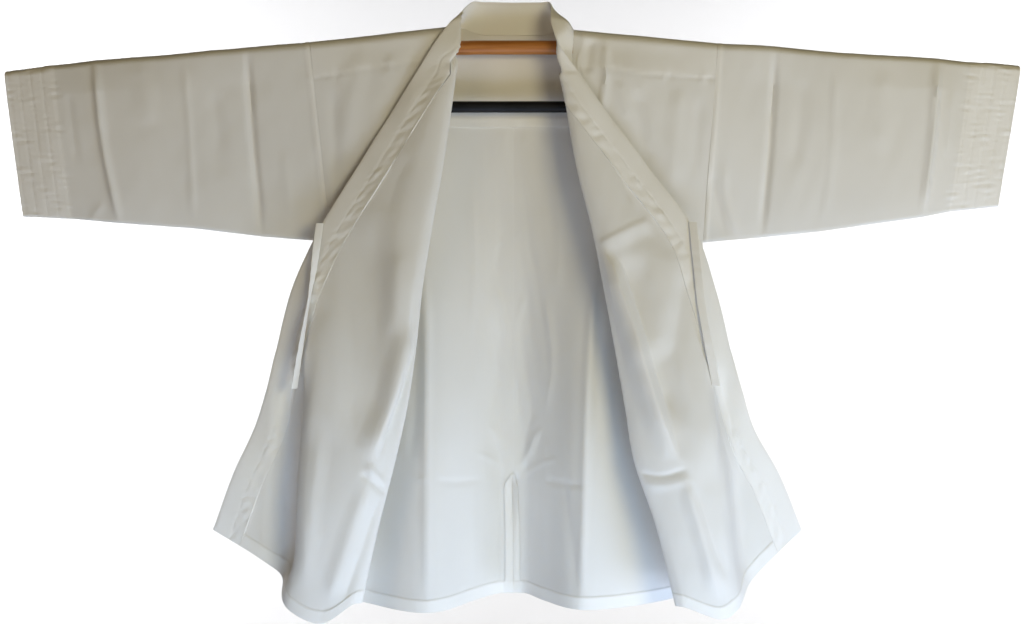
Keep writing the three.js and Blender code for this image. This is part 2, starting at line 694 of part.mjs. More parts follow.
// A round bar along a chain of points, closed at both ends.
function bar(path, radius, parts, round) {
  const curve = new THREE.CatmullRomCurve3(path, false, "centripetal");
  const frames = curve.computeFrenetFrames(parts, false);
  const positions = [];
  const index = [];
  steps(parts).forEach((t, i) => {
    const middle = curve.getPointAt(t);
    for (let k = 0; k < round; k += 1) {
      const angle = (k / round) * 2 * Math.PI;
      const spot = middle
        .clone()
        .addScaledVector(frames.normals[i], radius * Math.cos(angle))
        .addScaledVector(frames.binormals[i], radius * Math.sin(angle));
      positions.push(spot.x, spot.y, spot.z);
    }
  });
  for (let i = 0; i < parts; i += 1) {
    for (let k = 0; k < round; k += 1) {
      const next = (k + 1) % round;
      const [a, b] = [i * round + k, i * round + next];
      const [c, d] = [b + round, a + round];
      index.push(a, b, c, a, c, d);
    }
  }
  for (let k = 1; k < round - 1; k += 1) {
    const last = parts * round;
    index.push(0, k + 1, k, last, last + k, last + k + 1);
  }
  const geometry = new THREE.BufferGeometry();
  geometry.setAttribute("position", new THREE.Float32BufferAttribute(positions, 3));
  geometry.setIndex(index);
  geometry.computeVertexNormals();
  return geometry;
}

const white = { color: 0xe9e7e2, roughness: 0.72, metalness: 0 };
const wood = { color: 0xb4702e, roughness: 0.5, metalness: 0 };
const black = { color: 0x0c0c0e, roughness: 0.45, metalness: 0 };
const jacket = new THREE.Group();

function add(name, geometry, look) {
  const mesh = new THREE.Mesh(geometry, new THREE.MeshStandardMaterial(look));
  mesh.name = name;
  jacket.add(mesh);
}

const HEM_ROWS = 2; // a panel's last rows, where its cloth is turned up
const noX = new THREE.Vector3(0, 1, 1);
const noY = new THREE.Vector3(1, 0, 1);
const all = new THREE.Vector3(1, 1, 1);

for (const side of [left, right]) {
  const front = frontGrid(side);
  const back = backGrid(side);
  const turnedUp = (grid) => (r) => (r >= grid.length - HEM_ROWS ? HEM_CLOTH : CLOTH);
  add("front_" + side.name, wall(front, turnedUp(front), { level: (r) => (r === 0 ? noY : all) }), white);
  add(
    "back_" + side.name,
    wall(back, turnedUp(back), { level: (r, c) => (c === 0 ? noX : all) }),
    white,
  );
  const sleeve = sleeveGrid(side);
  const cuffRow = sleeve.length - 1 - SLEEVE_PARTS;
  const cuff = (r) => (r > cuffRow ? HEM_CLOTH : CLOTH);
  add("sleeve_" + side.name, wall(sleeve, cuff, { looped: true }), white);
  add("tie_" + side.name, wall(tieGrid(side), TIE_CLOTH), white);
  add("vent_facing_" + side.name, wall(facingGrid(side), FACING_CLOTH), white);
}
add("collar_band", wall(collarGrid(), (r, c) => (c === 0 ? CLOTH : BAND_CLOTH)), white);
add("yoke_lining", wall(liningGrid(), LINING_CLOTH), white);
add("hanger_bar", bar(hangerPath(), BAR_RADIUS, 36, 12), wood);
add(
  "hanger_lower_bar",
  bar([-LOWER_BAR_HALF, 0, LOWER_BAR_HALF].map((x) => point(x, 0, LOWER_BAR_Z)), LOWER_BAR_RADIUS, 6, 16),
  black,
);
for (const side of [left, right]) {
  const top = shoulderZ(side, LINK_X) - SHOULDER_SINK - BAR_RADIUS - 2 * SEAM_GAP;
  const path = [LOWER_BAR_Z + LOWER_BAR_RADIUS + SEAM_GAP, top].map((z) => point(side.sign * LINK_X, 0, z));
  add("hanger_link_" + side.name, bar(path, LINK_RADIUS, 2, 8), black);
}

export default jacket;
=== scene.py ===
# %% [markdown]
# # A sword-practice jacket on its hanger
# This file dresses the solids of a white training jacket. It hangs by a wooden bar that runs through
# both sleeves, and both fronts are turned back like wide lapels, so that their inner side shows.
# Cloth could be simulated, but this jacket is pressed, folded and laid out by hand. Its shape is known
# line by line, so every piece here is a surface worked out with numpy from the same named sizes as the
# solids, on a finer grid, with its creases, stitch rows and puckers added along its normals.

# %% Load the frame
import math

import bpy
import numpy as np
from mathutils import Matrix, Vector


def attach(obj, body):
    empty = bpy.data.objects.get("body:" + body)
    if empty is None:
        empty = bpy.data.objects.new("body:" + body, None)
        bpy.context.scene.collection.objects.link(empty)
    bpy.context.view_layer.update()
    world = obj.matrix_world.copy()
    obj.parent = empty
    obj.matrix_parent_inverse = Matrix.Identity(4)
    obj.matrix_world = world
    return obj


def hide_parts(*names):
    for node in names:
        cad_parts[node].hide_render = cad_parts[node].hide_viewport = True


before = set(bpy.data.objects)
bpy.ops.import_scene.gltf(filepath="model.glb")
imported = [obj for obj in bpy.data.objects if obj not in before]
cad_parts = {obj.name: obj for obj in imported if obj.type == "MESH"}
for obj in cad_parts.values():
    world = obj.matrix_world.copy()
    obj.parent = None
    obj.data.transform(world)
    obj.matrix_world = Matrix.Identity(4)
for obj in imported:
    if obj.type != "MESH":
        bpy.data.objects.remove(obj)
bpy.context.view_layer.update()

# %% [markdown]
# ## Sizes
# The sizes are millimetres while shapes are worked out and become metres when a mesh is made. A depth
# is given as "out", the distance towards the viewer, so y is minus out. Widths in tables are measured
# from the middle, and each side's sign places them left or right.

# %% Named sizes
CLOTH = 0.8
HEM_CLOTH = 1.5
BAND_CLOTH = 1.8
WALL = 1.2  # the solids' own wall
SEAM_GAP = 0.3
BAND_WIDTH = 45.0
TIE_WIDTH = 11.0
HEM_DEPTH = 18.0
CUFF_DEPTH = 74.0
BAR_RADIUS = 10.5
CENTRE_X = 2.0
NECK_X = 92.0
FIRST_LEVEL, ARMPIT_LEVEL, STRAIGHT_LEVEL, HEM_LEVEL = -46.0, -292.0, -450.0, -840.0
LINING_LEVEL = -120.0
ARMHOLE_ROLL, NECK_ROLL = 14.0, 17.0
VENT_TOP = -640.0


def table(names, *rows):
    """One array for each named column, from rows of numbers."""
    return dict(zip(names.split(), np.array(rows, float).T))


def mix(a, b, t):
    """The value at share t of the way from a to b: a plus t times their difference."""
    return a + (b - a) * t


def clip01(t):
    """t, held between 0 and 1."""
    return np.clip(t, 0.0, 1.0)


def ease(t):
    """0 to 1 with level ends: 3t^2 - 2t^3."""
    t = clip01(t)
    return t * t * (3 - 2 * t)


# %% [markdown]
# ## The lines of the fronts
# Each turned-back front is known by lines that run down it: the fold, the crest, ridge and valley of
# the layer on top, and the free edge. Each row of a table is one section at a height.

# %% Tables of the fronts and the back
FRONT_NAMES = "z foldX foldOut roll crestX crestOut ridgeX ridgeOut valleyX valleyOut edgeX edgeOut"
left_front = table(
    FRONT_NAMES,
    [-46, 83, 28, 3, 98, 33, 115, 31, 130, 29, 144, 27],
    [-80, 87, 33, 5, 108, 40, 130, 35, 148, 32, 165, 27],
    [-180, 101, 42, 6, 135, 49, 172, 42, 200, 35, 227, 29],
    [-280, 118, 52, 7, 150, 61, 205, 52, 248, 42, 287, 34],
    [-360, 130, 62, 8, 150, 73, 230, 62, 285, 50, 322, 43],
    [-450, 139, 70, 8, 153, 84, 288, 70, 318, 51, 345, 45],
    [-540, 151, 78, 8, 174, 98, 303, 80, 330, 53, 360, 45],
    [-620, 167, 84, 9, 200, 106, 311, 88, 334, 52, 378, 43],
    [-720, 190, 92, 9, 239, 110, 316, 95, 338, 47, 409, 44],
    [-840, 214, 100, 9, 270, 110, 319, 99, 348, 50, 439, 42],
)
right_front = table(
    FRONT_NAMES,
    [-46, 70, 31, 3, 80, 36, 88, 35, 95, 34, 101, 32],
    [-80, 77, 34, 4, 92, 40, 104, 38, 115, 36, 124, 33],
    [-180, 94, 43, 6, 120, 51, 150, 45, 175, 39, 199, 32],
    [-280, 118, 53, 7, 150, 64, 200, 53, 236, 45, 271, 36],
    [-360, 133, 62, 8, 160, 76, 225, 63, 268, 50, 298, 43],
    [-450, 149, 70, 8, 183, 90, 262, 72, 297, 52, 320, 45],
    [-540, 163, 78, 9, 218, 102, 285, 82, 311, 50, 337, 49],
    [-620, 175, 85, 9, 241, 108, 306, 89, 327, 51, 354, 46],
    [-720, 206, 93, 9, 276, 112, 316, 96, 337, 48, 392, 44],
    [-840, 233, 100, 9, 298, 112, 319, 101, 349, 51, 425, 42],
)
BACK_NAMES = "z centreOut midOut ridgeX ridgeOut outerOut"
left_back = table(
    BACK_NAMES,
    [-46, -24, -23, 124, -20, -17],
    [-120, -25, -23, 124, -19, -17],
    [-200, -26, -21, 124, -12, -14],
    [-280, -27, -16, 124, -2, -10],
    [-400, -28, -7, 124, 18, -3],
    [-540, -29, 4, 124, 42, 8],
    [-700, -30, 13, 123, 60, 22],
    [-840, -30, 18, 122, 72, 32],
)
right_back = table(
    BACK_NAMES,
    [-46, -24, -23, 124, -20, -17],
    [-120, -25, -23, 124, -19, -17],
    [-200, -26, -21, 123, -12, -14],
    [-280, -27, -16, 123, -2, -10],
    [-400, -28, -7, 117, 18, -3],
    [-540, -29, 4, 109, 42, 8],
    [-700, -30, 13, 104, 58, 22],
    [-840, -30, 18, 100, 68, 32],
)
back_neck = table(
    "x start roll z",
    [0, 1, 24, 48], [50, 0.96, 24, 48.5], [72, 0.72, 21, 44], [86, 0.3, 18.5, 33], [92, 0, 17, 30],
)
BACK_X = np.array([0, 23, 45, 60, 72, 82, 92, 110, 128, 150, 174, 198, 223, 248, 274], float)

# %% [markdown]
# ## The lines of the sleeves, collar and ties
# A sleeve is known by its armhole seam, three pressed creases and its cuff. The collar's rows go round
# the neck from the centre back to the point where it follows the fronts.

# %% Tables of the sleeves, collar and ties
SLEEVE_NAMES = "topX topZ bottomX bottomZ shift"
left_sleeve = table(
    SLEEVE_NAMES,
    [301.3, 7.2, 270.7, -291.2, 0],
    [396.3, -0.3, 373.9, -283, -4],
    [490.5, -9.6, 475.6, -271, 0.5],
    [623.6, -19.7, 584.8, -263.5, 5],
    [683.4, -27.2, 661, -256.5, 1],
    [756.7, -37, 732.8, -253, 0],
)
right_sleeve = table(
    SLEEVE_NAMES,
    [306.6, 5.7, 285.6, -292, 0],
    [394.8, 1.2, 372.4, -284.4, -4],
    [483, -7.8, 462, -275.5, 0.5],
    [637, -16.8, 613, -254.5, 5],
    [685, -22.7, 658, -245.6, 1],
    [758.2, -28.7, 728.3, -238, 0],
)
sleeve_depth = table(
    "down half",
    [0.047, 14], [0.15, 13.6], [0.3, 12.4], [0.5, 10.5], [0.7, 8], [0.9, 4.4], [0.985, 2],
)
NECK_NAMES = "place rollX rollOut rollZ edgeX edgeOut edgeZ"
left_neck = table(
    NECK_NAMES,
    [0, 0, -25.5, 49, 0, -24.5, 73],
    [2, 44, -25, 50, 42, -23, 73.5],
    [4, 67, -17, 51, 61, -14, 71],
    [6, 74, 2, 50, 83, 7, 45],
    [10, 77, 18, 19, 98, 18, 27],
    [12, 80, 28, -12, 118, 25, -3],
)
right_neck = table(
    NECK_NAMES,
    [0, 0, -25.5, 49, 0, -24.5, 73],
    [2, 44, -25, 50, 42, -23, 73],
    [4, 65, -17, 51, 57, -14, 71],
    [6, 77, 7, 43, 58, 9, 50],
    [10, 80, 23, 21, 60, 23, 25],
    [12, 66, 29, -10, 71, 34, -5],
)
TIE_NAMES = "z x out turn"
left_tie = table(
    TIE_NAMES,
    [-266, 283, 37, 12], [-300, 286, 47, 25], [-340, 290, 56, 55],
    [-379, 295, 64, 80], [-440, 304, 74, 62], [-507, 314, 78, 48],
)
right_tie = table(
    TIE_NAMES,
    [-264, 266, 38.7, 6], [-300, 268, 48, 8], [-340, 271, 57, 10],
    [-379, 274, 64, 4], [-440, 283, 75, 2], [-503, 294, 79, 12],
)


class Side:
    """One half of the jacket: its sign, its tables and the heights of its hem."""

    def __init__(self, name, sign, front, back, sleeve, neck, tie, neck_z, hem_side_x, front_hem, back_hem):
        self.name, self.sign = name, sign
        self.front, self.back, self.sleeve, self.neck, self.tie = front, back, sleeve, neck, tie
        self.neck_z, self.hem_side_x = neck_z, hem_side_x
        self.front_hem, self.back_hem = front_hem, back_hem


left = Side("left", -1, left_front, left_back, left_sleeve, left_neck, left_tie, 31, 303,
            dict(side=-806, under=-812, fold=-811, crest=-838, ridge=-820, valley=-775, edge=-716),
            dict(centre=-824, mid=-826, ridge=-832, outer=-826, side=-808))
right = Side("right", 1, right_front, right_back, right_sleeve, right_neck, right_tie, 26, 308,
             dict(side=-806, under=-812, fold=-815, crest=-832, ridge=-822, valley=-790, edge=-716),
             dict(centre=-824, mid=-826, ridge=-828, outer=-826, side=-808))
print("tables for", left.name, "and", right.name)

# %% [markdown]
# ## Smooth curves
# Two kinds of curve are enough. Down a table, cubic pieces join its rows. Across a section, a
# Catmull-Rom curve with its knots spaced by the root of their distance passes through the lines without
# loops or overshoot, even where the cloth turns back on itself at the fold.


# %% Curve helpers
def smooth(xs, ys, x):
    """Cubic pieces through (xs, ys): each knot's slope is the mean of the straight slopes beside it."""
    order = np.argsort(xs)
    xs, ys, x = np.asarray(xs, float)[order], np.asarray(ys, float)[order], np.asarray(x, float)
    slopes = np.diff(ys) / np.diff(xs)
    knots = (np.r_[slopes[0], slopes] + np.r_[slopes, slopes[-1]]) / 2
    i = np.clip(np.searchsorted(xs, x, side="right") - 1, 0, len(xs) - 2)
    h = xs[i + 1] - xs[i]
    t = clip01((x - xs[i]) / h)
    return ((2 * t**3 - 3 * t**2 + 1) * ys[i] + (t**3 - 2 * t**2 + t) * h * knots[i]
            + (3 * t**2 - 2 * t**3) * ys[i + 1] + (t**3 - t**2) * h * knots[i + 1])


def through(knots, parts):
    """Points on Catmull-Rom curves through knots (rows, knots, 3), in parts steps between two knots."""
    ends = [2 * knots[:, :1] - knots[:, 1:2], 2 * knots[:, -1:] - knots[:, -2:-1]]
    p = np.concatenate([ends[0], knots, ends[1]], axis=1)
    step = np.maximum(np.linalg.norm(np.diff(p, axis=1), axis=2), 1e-6) ** 0.5
    a, b, c, d = (p[:, i:p.shape[1] - 3 + i] for i in range(4))
    s0, s1, s2 = (step[:, i:step.shape[1] - 2 + i, None] for i in range(3))
    leave = ((b - a) / s0 - (c - a) / (s0 + s1) + (c - b) / s1) * s1
    arrive = ((c - b) / s1 - (d - b) / (s1 + s2) + (d - c) / s2) * s1
    t = (np.arange(parts) / parts)[None, None, :, None]
    b, c, leave, arrive = (v[:, :, None, :] for v in (b, c, leave, arrive))
    bend, twist = 3 * (c - b) - 2 * leave - arrive, 2 * (b - c) + leave + arrive
    body = b + leave * t + bend * t**2 + twist * t**3
    return np.concatenate([body.reshape(len(knots), -1, 3), knots[:, -1:]], axis=1)


def reached(chain):
    """Distance from each chain's start to each of its points."""
    steps = np.linalg.norm(np.diff(chain, axis=1), axis=2)
    return np.concatenate([np.zeros((len(chain), 1)), np.cumsum(steps, axis=1)], axis=1)


def along(chain, distances):
    """Points at given distances along each chain; both arrays have one row for each chain."""
    marks = reached(chain) + np.arange(chain.shape[1]) * 1e-9
    return np.stack([
        np.stack([np.interp(d, m, line[:, k]) for k in range(3)], axis=1)
        for d, m, line in zip(distances, marks, chain)
    ])


def unit(v):
    """Vectors divided by their own lengths."""
    return v / np.maximum(np.linalg.norm(v, axis=-1, keepdims=True), 1e-9)


def spot(x, out, z):
    """Points from arrays of x, out and z."""
    x, out, z = np.broadcast_arrays(x, out, z)
    return np.stack([x, -out, z], axis=-1).astype(float)


# %% [markdown]
# ## Sections across the fronts and the back
# These are the solids' own rules. Above STRAIGHT_LEVEL a level is a height, and below it the levels are
# shared out down to each line's own hem, which is how a hem that rises towards the edge stays one row.

# %% Sections
PARTS = 14
FOLD_LINE = 4
TURN = 1.2  # where the layers leave the fold, in rolls
UNDER_STOPS, LEAN = (0.35, 0.72), 0.94  # two lines on the layer beneath, and how much depth it has by then
ARMPIT_HALF, HEM_HALF, LAST_BIT, QUICKLY = 2.0, 0.4, 0.88, 12


def shoulder_z(side, x):
    """The shoulder line's height at x: straight from the neck's corner to the top of the sleeve."""
    return mix(side.neck_z, side.sleeve["topZ"][0], (x - NECK_X) / (side.sleeve["topX"][0] - NECK_X))


def height_at(level, hem):
    """A level's height: the level itself, and below STRAIGHT_LEVEL its share of the way to the hem."""
    share = (level - STRAIGHT_LEVEL) / (HEM_LEVEL - STRAIGHT_LEVEL)
    return np.where(level > STRAIGHT_LEVEL, level, mix(STRAIGHT_LEVEL, hem, share))


def outer_edge(side, z):
    """The body's outer edge at heights z, down the armhole and then the side seam: x, half depth, middle."""
    s = side.sleeve
    down = (z - s["topZ"][0]) / (s["bottomZ"][0] - s["topZ"][0])
    seam_half = (WALL + SEAM_GAP) / 2
    above = down < 1
    share = clip01((z - s["bottomZ"][0]) / (side.front_hem["side"] - s["bottomZ"][0]))
    on_armhole = mix(s["topX"][0], s["bottomX"][0], down)
    x = np.where(above, on_armhole, mix(s["bottomX"][0], side.hem_side_x, share))
    arm = np.maximum(seam_half, smooth(sleeve_depth["down"], sleeve_depth["half"], down))
    seam = (mix(ARMPIT_HALF, seam_half, clip01(share * QUICKLY))
            + HEM_HALF * clip01((share - LAST_BIT) * QUICKLY))
    return x, np.where(above, arm, seam), np.where(above, 0.0, 6 * ease(share))


def section_through(side, levels, lines):
    """Smooth sections through lines, each a distance from the middle, an out and the line's own hem."""
    knots = [spot(side.sign * x, out, height_at(levels, hem)) for x, out, hem in lines]
    return through(np.stack(knots, axis=1), PARTS)


def front_section(side, levels):
    """Each section runs from the side seam in to the fold and out again to the free edge, at each level."""
    get = {name: smooth(side.front["z"], side.front[name], levels) for name in FRONT_NAMES.split()[1:]}
    hem = side.front_hem
    x, half, middle = outer_edge(side, height_at(levels, hem["side"]))
    turn_x = get["foldX"] + TURN * get["roll"]
    back_out = get["foldOut"] - get["roll"]
    near, far = UNDER_STOPS
    return section_through(side, levels, [
        (x, middle + half, hem["side"]),
        (mix(x, turn_x, near), mix(middle + half, back_out, near * LEAN), hem["under"]),
        (mix(x, turn_x, far), mix(middle + half, back_out, far * LEAN), hem["under"]),
        (turn_x, back_out, hem["fold"]),
        (get["foldX"], get["foldOut"], hem["fold"]),
        (turn_x, get["foldOut"] + get["roll"], hem["fold"]),
        *((get[name + "X"], get[name + "Out"], hem[name]) for name in ("crest", "ridge", "valley", "edge")),
    ])


def band_reach(side, levels):
    """How far the band goes along a section: its width, more where the section crosses it aslant."""
    here = front_section(side, levels)
    edge = (front_section(side, np.maximum(levels - 6, HEM_LEVEL))[:, -1]
            - front_section(side, np.minimum(levels + 6, FIRST_LEVEL))[:, -1])
    across = here[:, -1] - here[:, -PARTS]
    return BAND_WIDTH / np.linalg.norm(np.cross(unit(across), unit(edge)), axis=1)


def back_section(side, levels):
    """Each section runs from the centre seam over the ridge to the side seam, at each level."""
    get = {name: smooth(side.back["z"], side.back[name], levels) for name in BACK_NAMES.split()[1:]}
    hem = side.back_hem
    x, half, middle = outer_edge(side, height_at(levels, hem["side"]))
    centre = side.sign * CENTRE_X
    return section_through(side, levels, [
        (centre + 0 * x, get["centreOut"], hem["centre"]),
        (mix(centre, get["ridgeX"], 0.17), get["centreOut"] + 1.5, hem["centre"]),
        (mix(centre, get["ridgeX"], 0.5), get["midOut"], hem["mid"]),
        (get["ridgeX"], get["ridgeOut"], hem["ridge"]),
        (mix(get["ridgeX"], x, 0.5), get["outerOut"], hem["outer"]),
        (x, middle - half, hem["side"]),
    ])


def levels_with(above, below):
    """Levels from the first to the armpit and on to the hem, with a count for each stretch."""
    return np.r_[np.linspace(FIRST_LEVEL, ARMPIT_LEVEL, above)[:-1],
                 np.linspace(ARMPIT_LEVEL, HEM_LEVEL, below)]


front_levels, back_levels = levels_with(86, 190), levels_with(66, 150)
print("front sections", front_section(left, front_levels).shape)

# %% [markdown]
# ## Over the shoulder
# The fronts and the back are one length of cloth over the hanger's arm. The cloth goes round the arm on
# a quarter circle and then falls to the first section below it.


# %% Over the shoulder
ARC_POINTS, FALL_POINTS = 17, 24
ROW_SPREAD = 1.4  # rows are closer together at the top


def over_shoulder(x, z, roll, start, facing, sign, target, rows):
    """For each column, a quarter circle from angle start, then an eased fall to target; rows spread on it."""
    angle = mix(start[:, None], math.pi / 2, np.linspace(0, 1, ARC_POINTS)[None])
    roll, z = roll[:, None], z[:, None]
    t = np.linspace(0, 1, FALL_POINTS + 1)[None, 1:]
    fall_out = mix(facing * roll, -target[:, 1:2], ease(t))
    out = np.concatenate([facing * roll * np.sin(angle), fall_out], axis=1)
    height = np.concatenate([z - roll * (1 - np.cos(angle)), mix(z - roll, target[:, 2:3], t)], axis=1)
    share = (height[:, :1] - height) / (height[:, :1] - target[:, 2:3])
    chain = spot(mix(sign * x[:, None], target[:, :1], share), out, height)
    total = reached(chain)[:, -1:]
    return along(chain, total * np.linspace(0, 1, rows + 1)[None] ** ROW_SPREAD).transpose(1, 0, 2)


FOLD_SPAN, FOLD_MARGIN = 1.9, 4  # half the length round the fold, in rolls, and what is kept beyond it
NECK_ALLOWANCE = 1.3
FOLD_LEAD, FOLD_LEAD_Z, FOLD_LEAD_REACH = 7.0, -24.0, 26


def front_distances(side, levels, under, fold, over):
    """Distances of the columns along each section: close together round the fold, up to the band's seam."""
    section = front_section(side, levels)
    marks = reached(section)
    near_neck = clip01((levels - LINING_LEVEL) / (FIRST_LEVEL - LINING_LEVEL))
    end = marks[:, -1] - band_reach(side, levels) + SEAM_GAP / 2 - mix(SEAM_GAP, NECK_ALLOWANCE, near_neck)
    reach = FOLD_SPAN * smooth(side.front["z"], side.front["roll"], levels)
    middle = np.minimum(marks[:, FOLD_LINE * PARTS], end - reach - FOLD_MARGIN)
    pieces = [(0 * end, middle - reach, under, 0), (middle - reach, middle + reach, fold, 1),
              (middle + reach, end, over, 1)]
    return np.concatenate([
        mix(a[:, None], b[:, None], np.linspace(0, 1, n + 1)[None, first:]) for a, b, n, first in pieces
    ], axis=1)


def front_grid(side, levels, counts, rows):
    """The whole front of one side, from the shoulder line to the hem."""
    lower = along(front_section(side, levels), front_distances(side, levels, *counts))
    marks = front_distances(side, levels[:1], *counts)[0]
    share = marks / marks[-1]
    x = mix(side.sleeve["topX"][0], NECK_X, share)
    roll = mix(ARMHOLE_ROLL, NECK_ROLL, share)
    upper = over_shoulder(x, shoulder_z(side, x), roll, 0 * x, 1, side.sign, lower[0], rows)
    # the fold comes in early enough to carry on the collar's line
    under, fold, _ = counts
    near_fold = np.exp(-(((np.arange(upper.shape[1]) - under - fold / 2) / fold) ** 2))
    near_level = ease(1 - np.abs(upper[..., 2] - FOLD_LEAD_Z) / FOLD_LEAD_REACH)
    upper[..., 0] -= side.sign * FOLD_LEAD * near_fold * near_level
    return np.concatenate([upper[:-1], lower])


def neck_edge(side, x):
    """The back's neck edge at distances x from the middle: start angle, its circle's top, its radius."""
    get = {name: smooth(back_neck["x"], back_neck[name], x) for name in ("start", "roll", "z")}
    z = get["z"] - (x / NECK_X) ** 4 * (back_neck["z"][-1] - side.neck_z)
    return clip01(get["start"]) * math.pi / 2, z, get["roll"]


vent_gap = table(
    "z leftHalf rightHalf sunk",
    [-840, 0.3, -2.0, 3], [-720, 0.3, -2.0, 4], [-690, 1.6, -2.4, 8], [-655, 2.1, -2.4, 9],
    [-640, 0.05, 0.05, 0],
)
SUNK_COLUMNS = np.array([1, 0.45, 0.12, 0.02])  # the vent's right edge passes behind the left one
CENTRE_HALF_GAP = 0.05


def back_grid(side, levels, fine, rows):
    """One half of the back, from the shoulder line and the neck edge to the hem."""
    outer_x = side.sleeve["topX"][0]
    places = np.arange(len(BACK_X) * fine + 1) / fine
    shares = np.interp(places, np.arange(len(BACK_X) + 1), np.r_[BACK_X, outer_x]) / outer_x
    section = back_section(side, levels)
    lower = along(section, reached(section)[:, -1:] * shares[None])
    at_vent = {name: np.interp(lower[:, 0, 2], vent_gap["z"], vent_gap[name]) for name in vent_gap}
    lower[:, 0, 0] = CENTRE_X + side.sign * at_vent[side.name + "Half"]
    if side is right:
        lower[:, :len(SUNK_COLUMNS), 1] += at_vent["sunk"][:, None] * SUNK_COLUMNS
    x = shares * outer_x
    start, z, roll = neck_edge(side, x)
    beyond = x > NECK_X
    wide = mix(NECK_ROLL, ARMHOLE_ROLL, (x - NECK_X) / (outer_x - NECK_X))
    start, roll = np.where(beyond, 0, start), np.where(beyond, wide, roll)
    z = np.where(beyond, shoulder_z(side, x), z)
    upper = over_shoulder(x, z, roll, start, -1, side.sign, lower[0], rows)
    upper[:, 0, 0] = CENTRE_X + side.sign * CENTRE_HALF_GAP
    return np.concatenate([upper[:-1], lower])


# %% [markdown]
# ## The collar band
# On the real jacket the band is one long strip, folded over the raw edge of the body and stitched
# through. It runs from one hem corner up round the neck to the other, so it is one piece here too: rows
# across it follow the fronts, then the neck.


# %% Collar
def band_rows(side, levels, across):
    """The last band's width of each section, at shares across it."""
    section = front_section(side, levels)
    end = reached(section)[:, -1:]
    reach = (band_reach(side, levels) - SEAM_GAP / 2)[:, None]
    return along(section, end - reach * (1 - across[None]))


BACK_PLACES, FRONT_PLACES = 6, 8  # rows from the centre back to the shoulder, and on down the front
TUCK = dict(out=(1.6, 70), z=(2.6, 84))  # how far in and down the seam sits at the neck, and up to which x
TUCK_REACH = 30
FRONT_TUCK, FRONT_TUCK_PLACE = 1.2, 11


def neck_rows(side, across, fine):
    """Curves through the body's edge, the roll and the free edge, at fine places round the neck."""
    back_places = np.arange(BACK_PLACES * fine) / fine
    x = np.interp(back_places, np.arange(BACK_PLACES + 1), BACK_X[:BACK_PLACES + 1])
    start, z, roll = neck_edge(side, x)
    on_back = spot(side.sign * x, -roll * np.sin(start), z - roll * (1 - np.cos(start)))
    tucked = (-much * ease((until - x) / TUCK_REACH) for much, until in TUCK.values())
    on_back += np.stack([0 * x, *tucked], axis=1)
    steps = FRONT_PLACES * fine
    on_front = front_grid(side, np.array([FIRST_LEVEL, -50.0]), (6, 6, 9), steps)[:steps, -1]
    # the coarse rows lie at powers of their share down the shoulder, so places follow the same powers
    places = np.r_[back_places, BACK_PLACES + np.arange(steps) / fine]
    seam = np.concatenate([on_back, on_front])
    last = band_rows(side, np.array([FIRST_LEVEL]), np.array([0, 0.5, 1]))
    knots = []
    for name, end in (("roll", last[0, 1]), ("edge", last[0, 2])):
        known = np.r_[side.neck["place"], BACK_PLACES + FRONT_PLACES]
        at = lambda axis, final: smooth(known, np.r_[side.neck[name + axis], final], places)
        knots.append(spot(side.sign * at("X", abs(end[0])), at("Out", -end[1]), at("Z", end[2])))
    seam[:, 1] -= FRONT_TUCK * ease((places - FRONT_TUCK_PLACE) / 1.5)
    rows = np.stack([seam, *knots], axis=1)
    rows[:, :, 0] += (CENTRE_X * clip01(1 - places / 2))[:, None]
    chain = through(rows, 12)
    return along(chain, mix(1.0, reached(chain)[:, -1:], across[None]))


def collar_grid(levels, across, fine):
    """The whole band, from the left hem corner round the neck to the right one."""
    halves = [np.concatenate([neck_rows(side, across, fine), band_rows(side, levels, across)])
              for side in (left, right)]
    return np.concatenate([halves[0][::-1], halves[1][1:]])


# %% [markdown]
# ## Sleeves and ties
# A sleeve is a flat tube: two layers, round over the hanger's arm at the top and folded at the seam
# below. Its pressed creases run through both layers, and straight pieces between them keep them crisp.


# %% Sleeve and tie grids
SLEEVE_DROP = 299  # the armhole's length, which shares of the way down refer to
ARC_STEPS = 9


def sleeve_loop(count):
    """Share of the way down and half depth round the whole tube: front down, then back up."""
    reach = ARMHOLE_ROLL / SLEEVE_DROP
    angle = np.radians(np.linspace(0, 90, ARC_STEPS)[:-1])
    arc = np.stack([reach * (1 - np.cos(angle)), ARMHOLE_ROLL * np.sin(angle)], axis=1)
    down = np.r_[np.linspace(reach, 0.955, count), 0.975, 0.985]
    face = np.stack([down, smooth(sleeve_depth["down"], sleeve_depth["half"], down)], axis=1)
    half = np.concatenate([arc, face, [[0.994, 1.3]]])
    return np.concatenate([half, [[1.0, 0.0]], (half[1:] * [1, -1])[::-1]])


def sleeve_grid(side, places, count):
    """The tube at places from the armhole (0) to the cuff (5), with straight pieces between its creases."""
    loop = sleeve_loop(count)
    at = {name: np.interp(places, np.arange(6), side.sleeve[name])[:, None] for name in SLEEVE_NAMES.split()}
    down, depth = loop[None, :, 0], loop[None, :, 1]
    return spot(side.sign * mix(at["topX"], at["bottomX"], down), depth + at["shift"] * clip01(down * 5),
                mix(at["topZ"], at["bottomZ"], down))


def tie_grid(side, rows, cols):
    """A flat strap about its middle line, turned at each height."""
    z = np.linspace(side.tie["z"][0], side.tie["z"][-1], rows)
    x, out, turn = (smooth(side.tie["z"], side.tie[name], z)[:, None] for name in ("x", "out", "turn"))
    turn = np.radians(turn)
    across = np.linspace(-TIE_WIDTH / 2, TIE_WIDTH / 2, cols)[None]
    return spot(side.sign * (x + np.cos(turn) * across), out + np.sin(turn) * across, z[:, None])


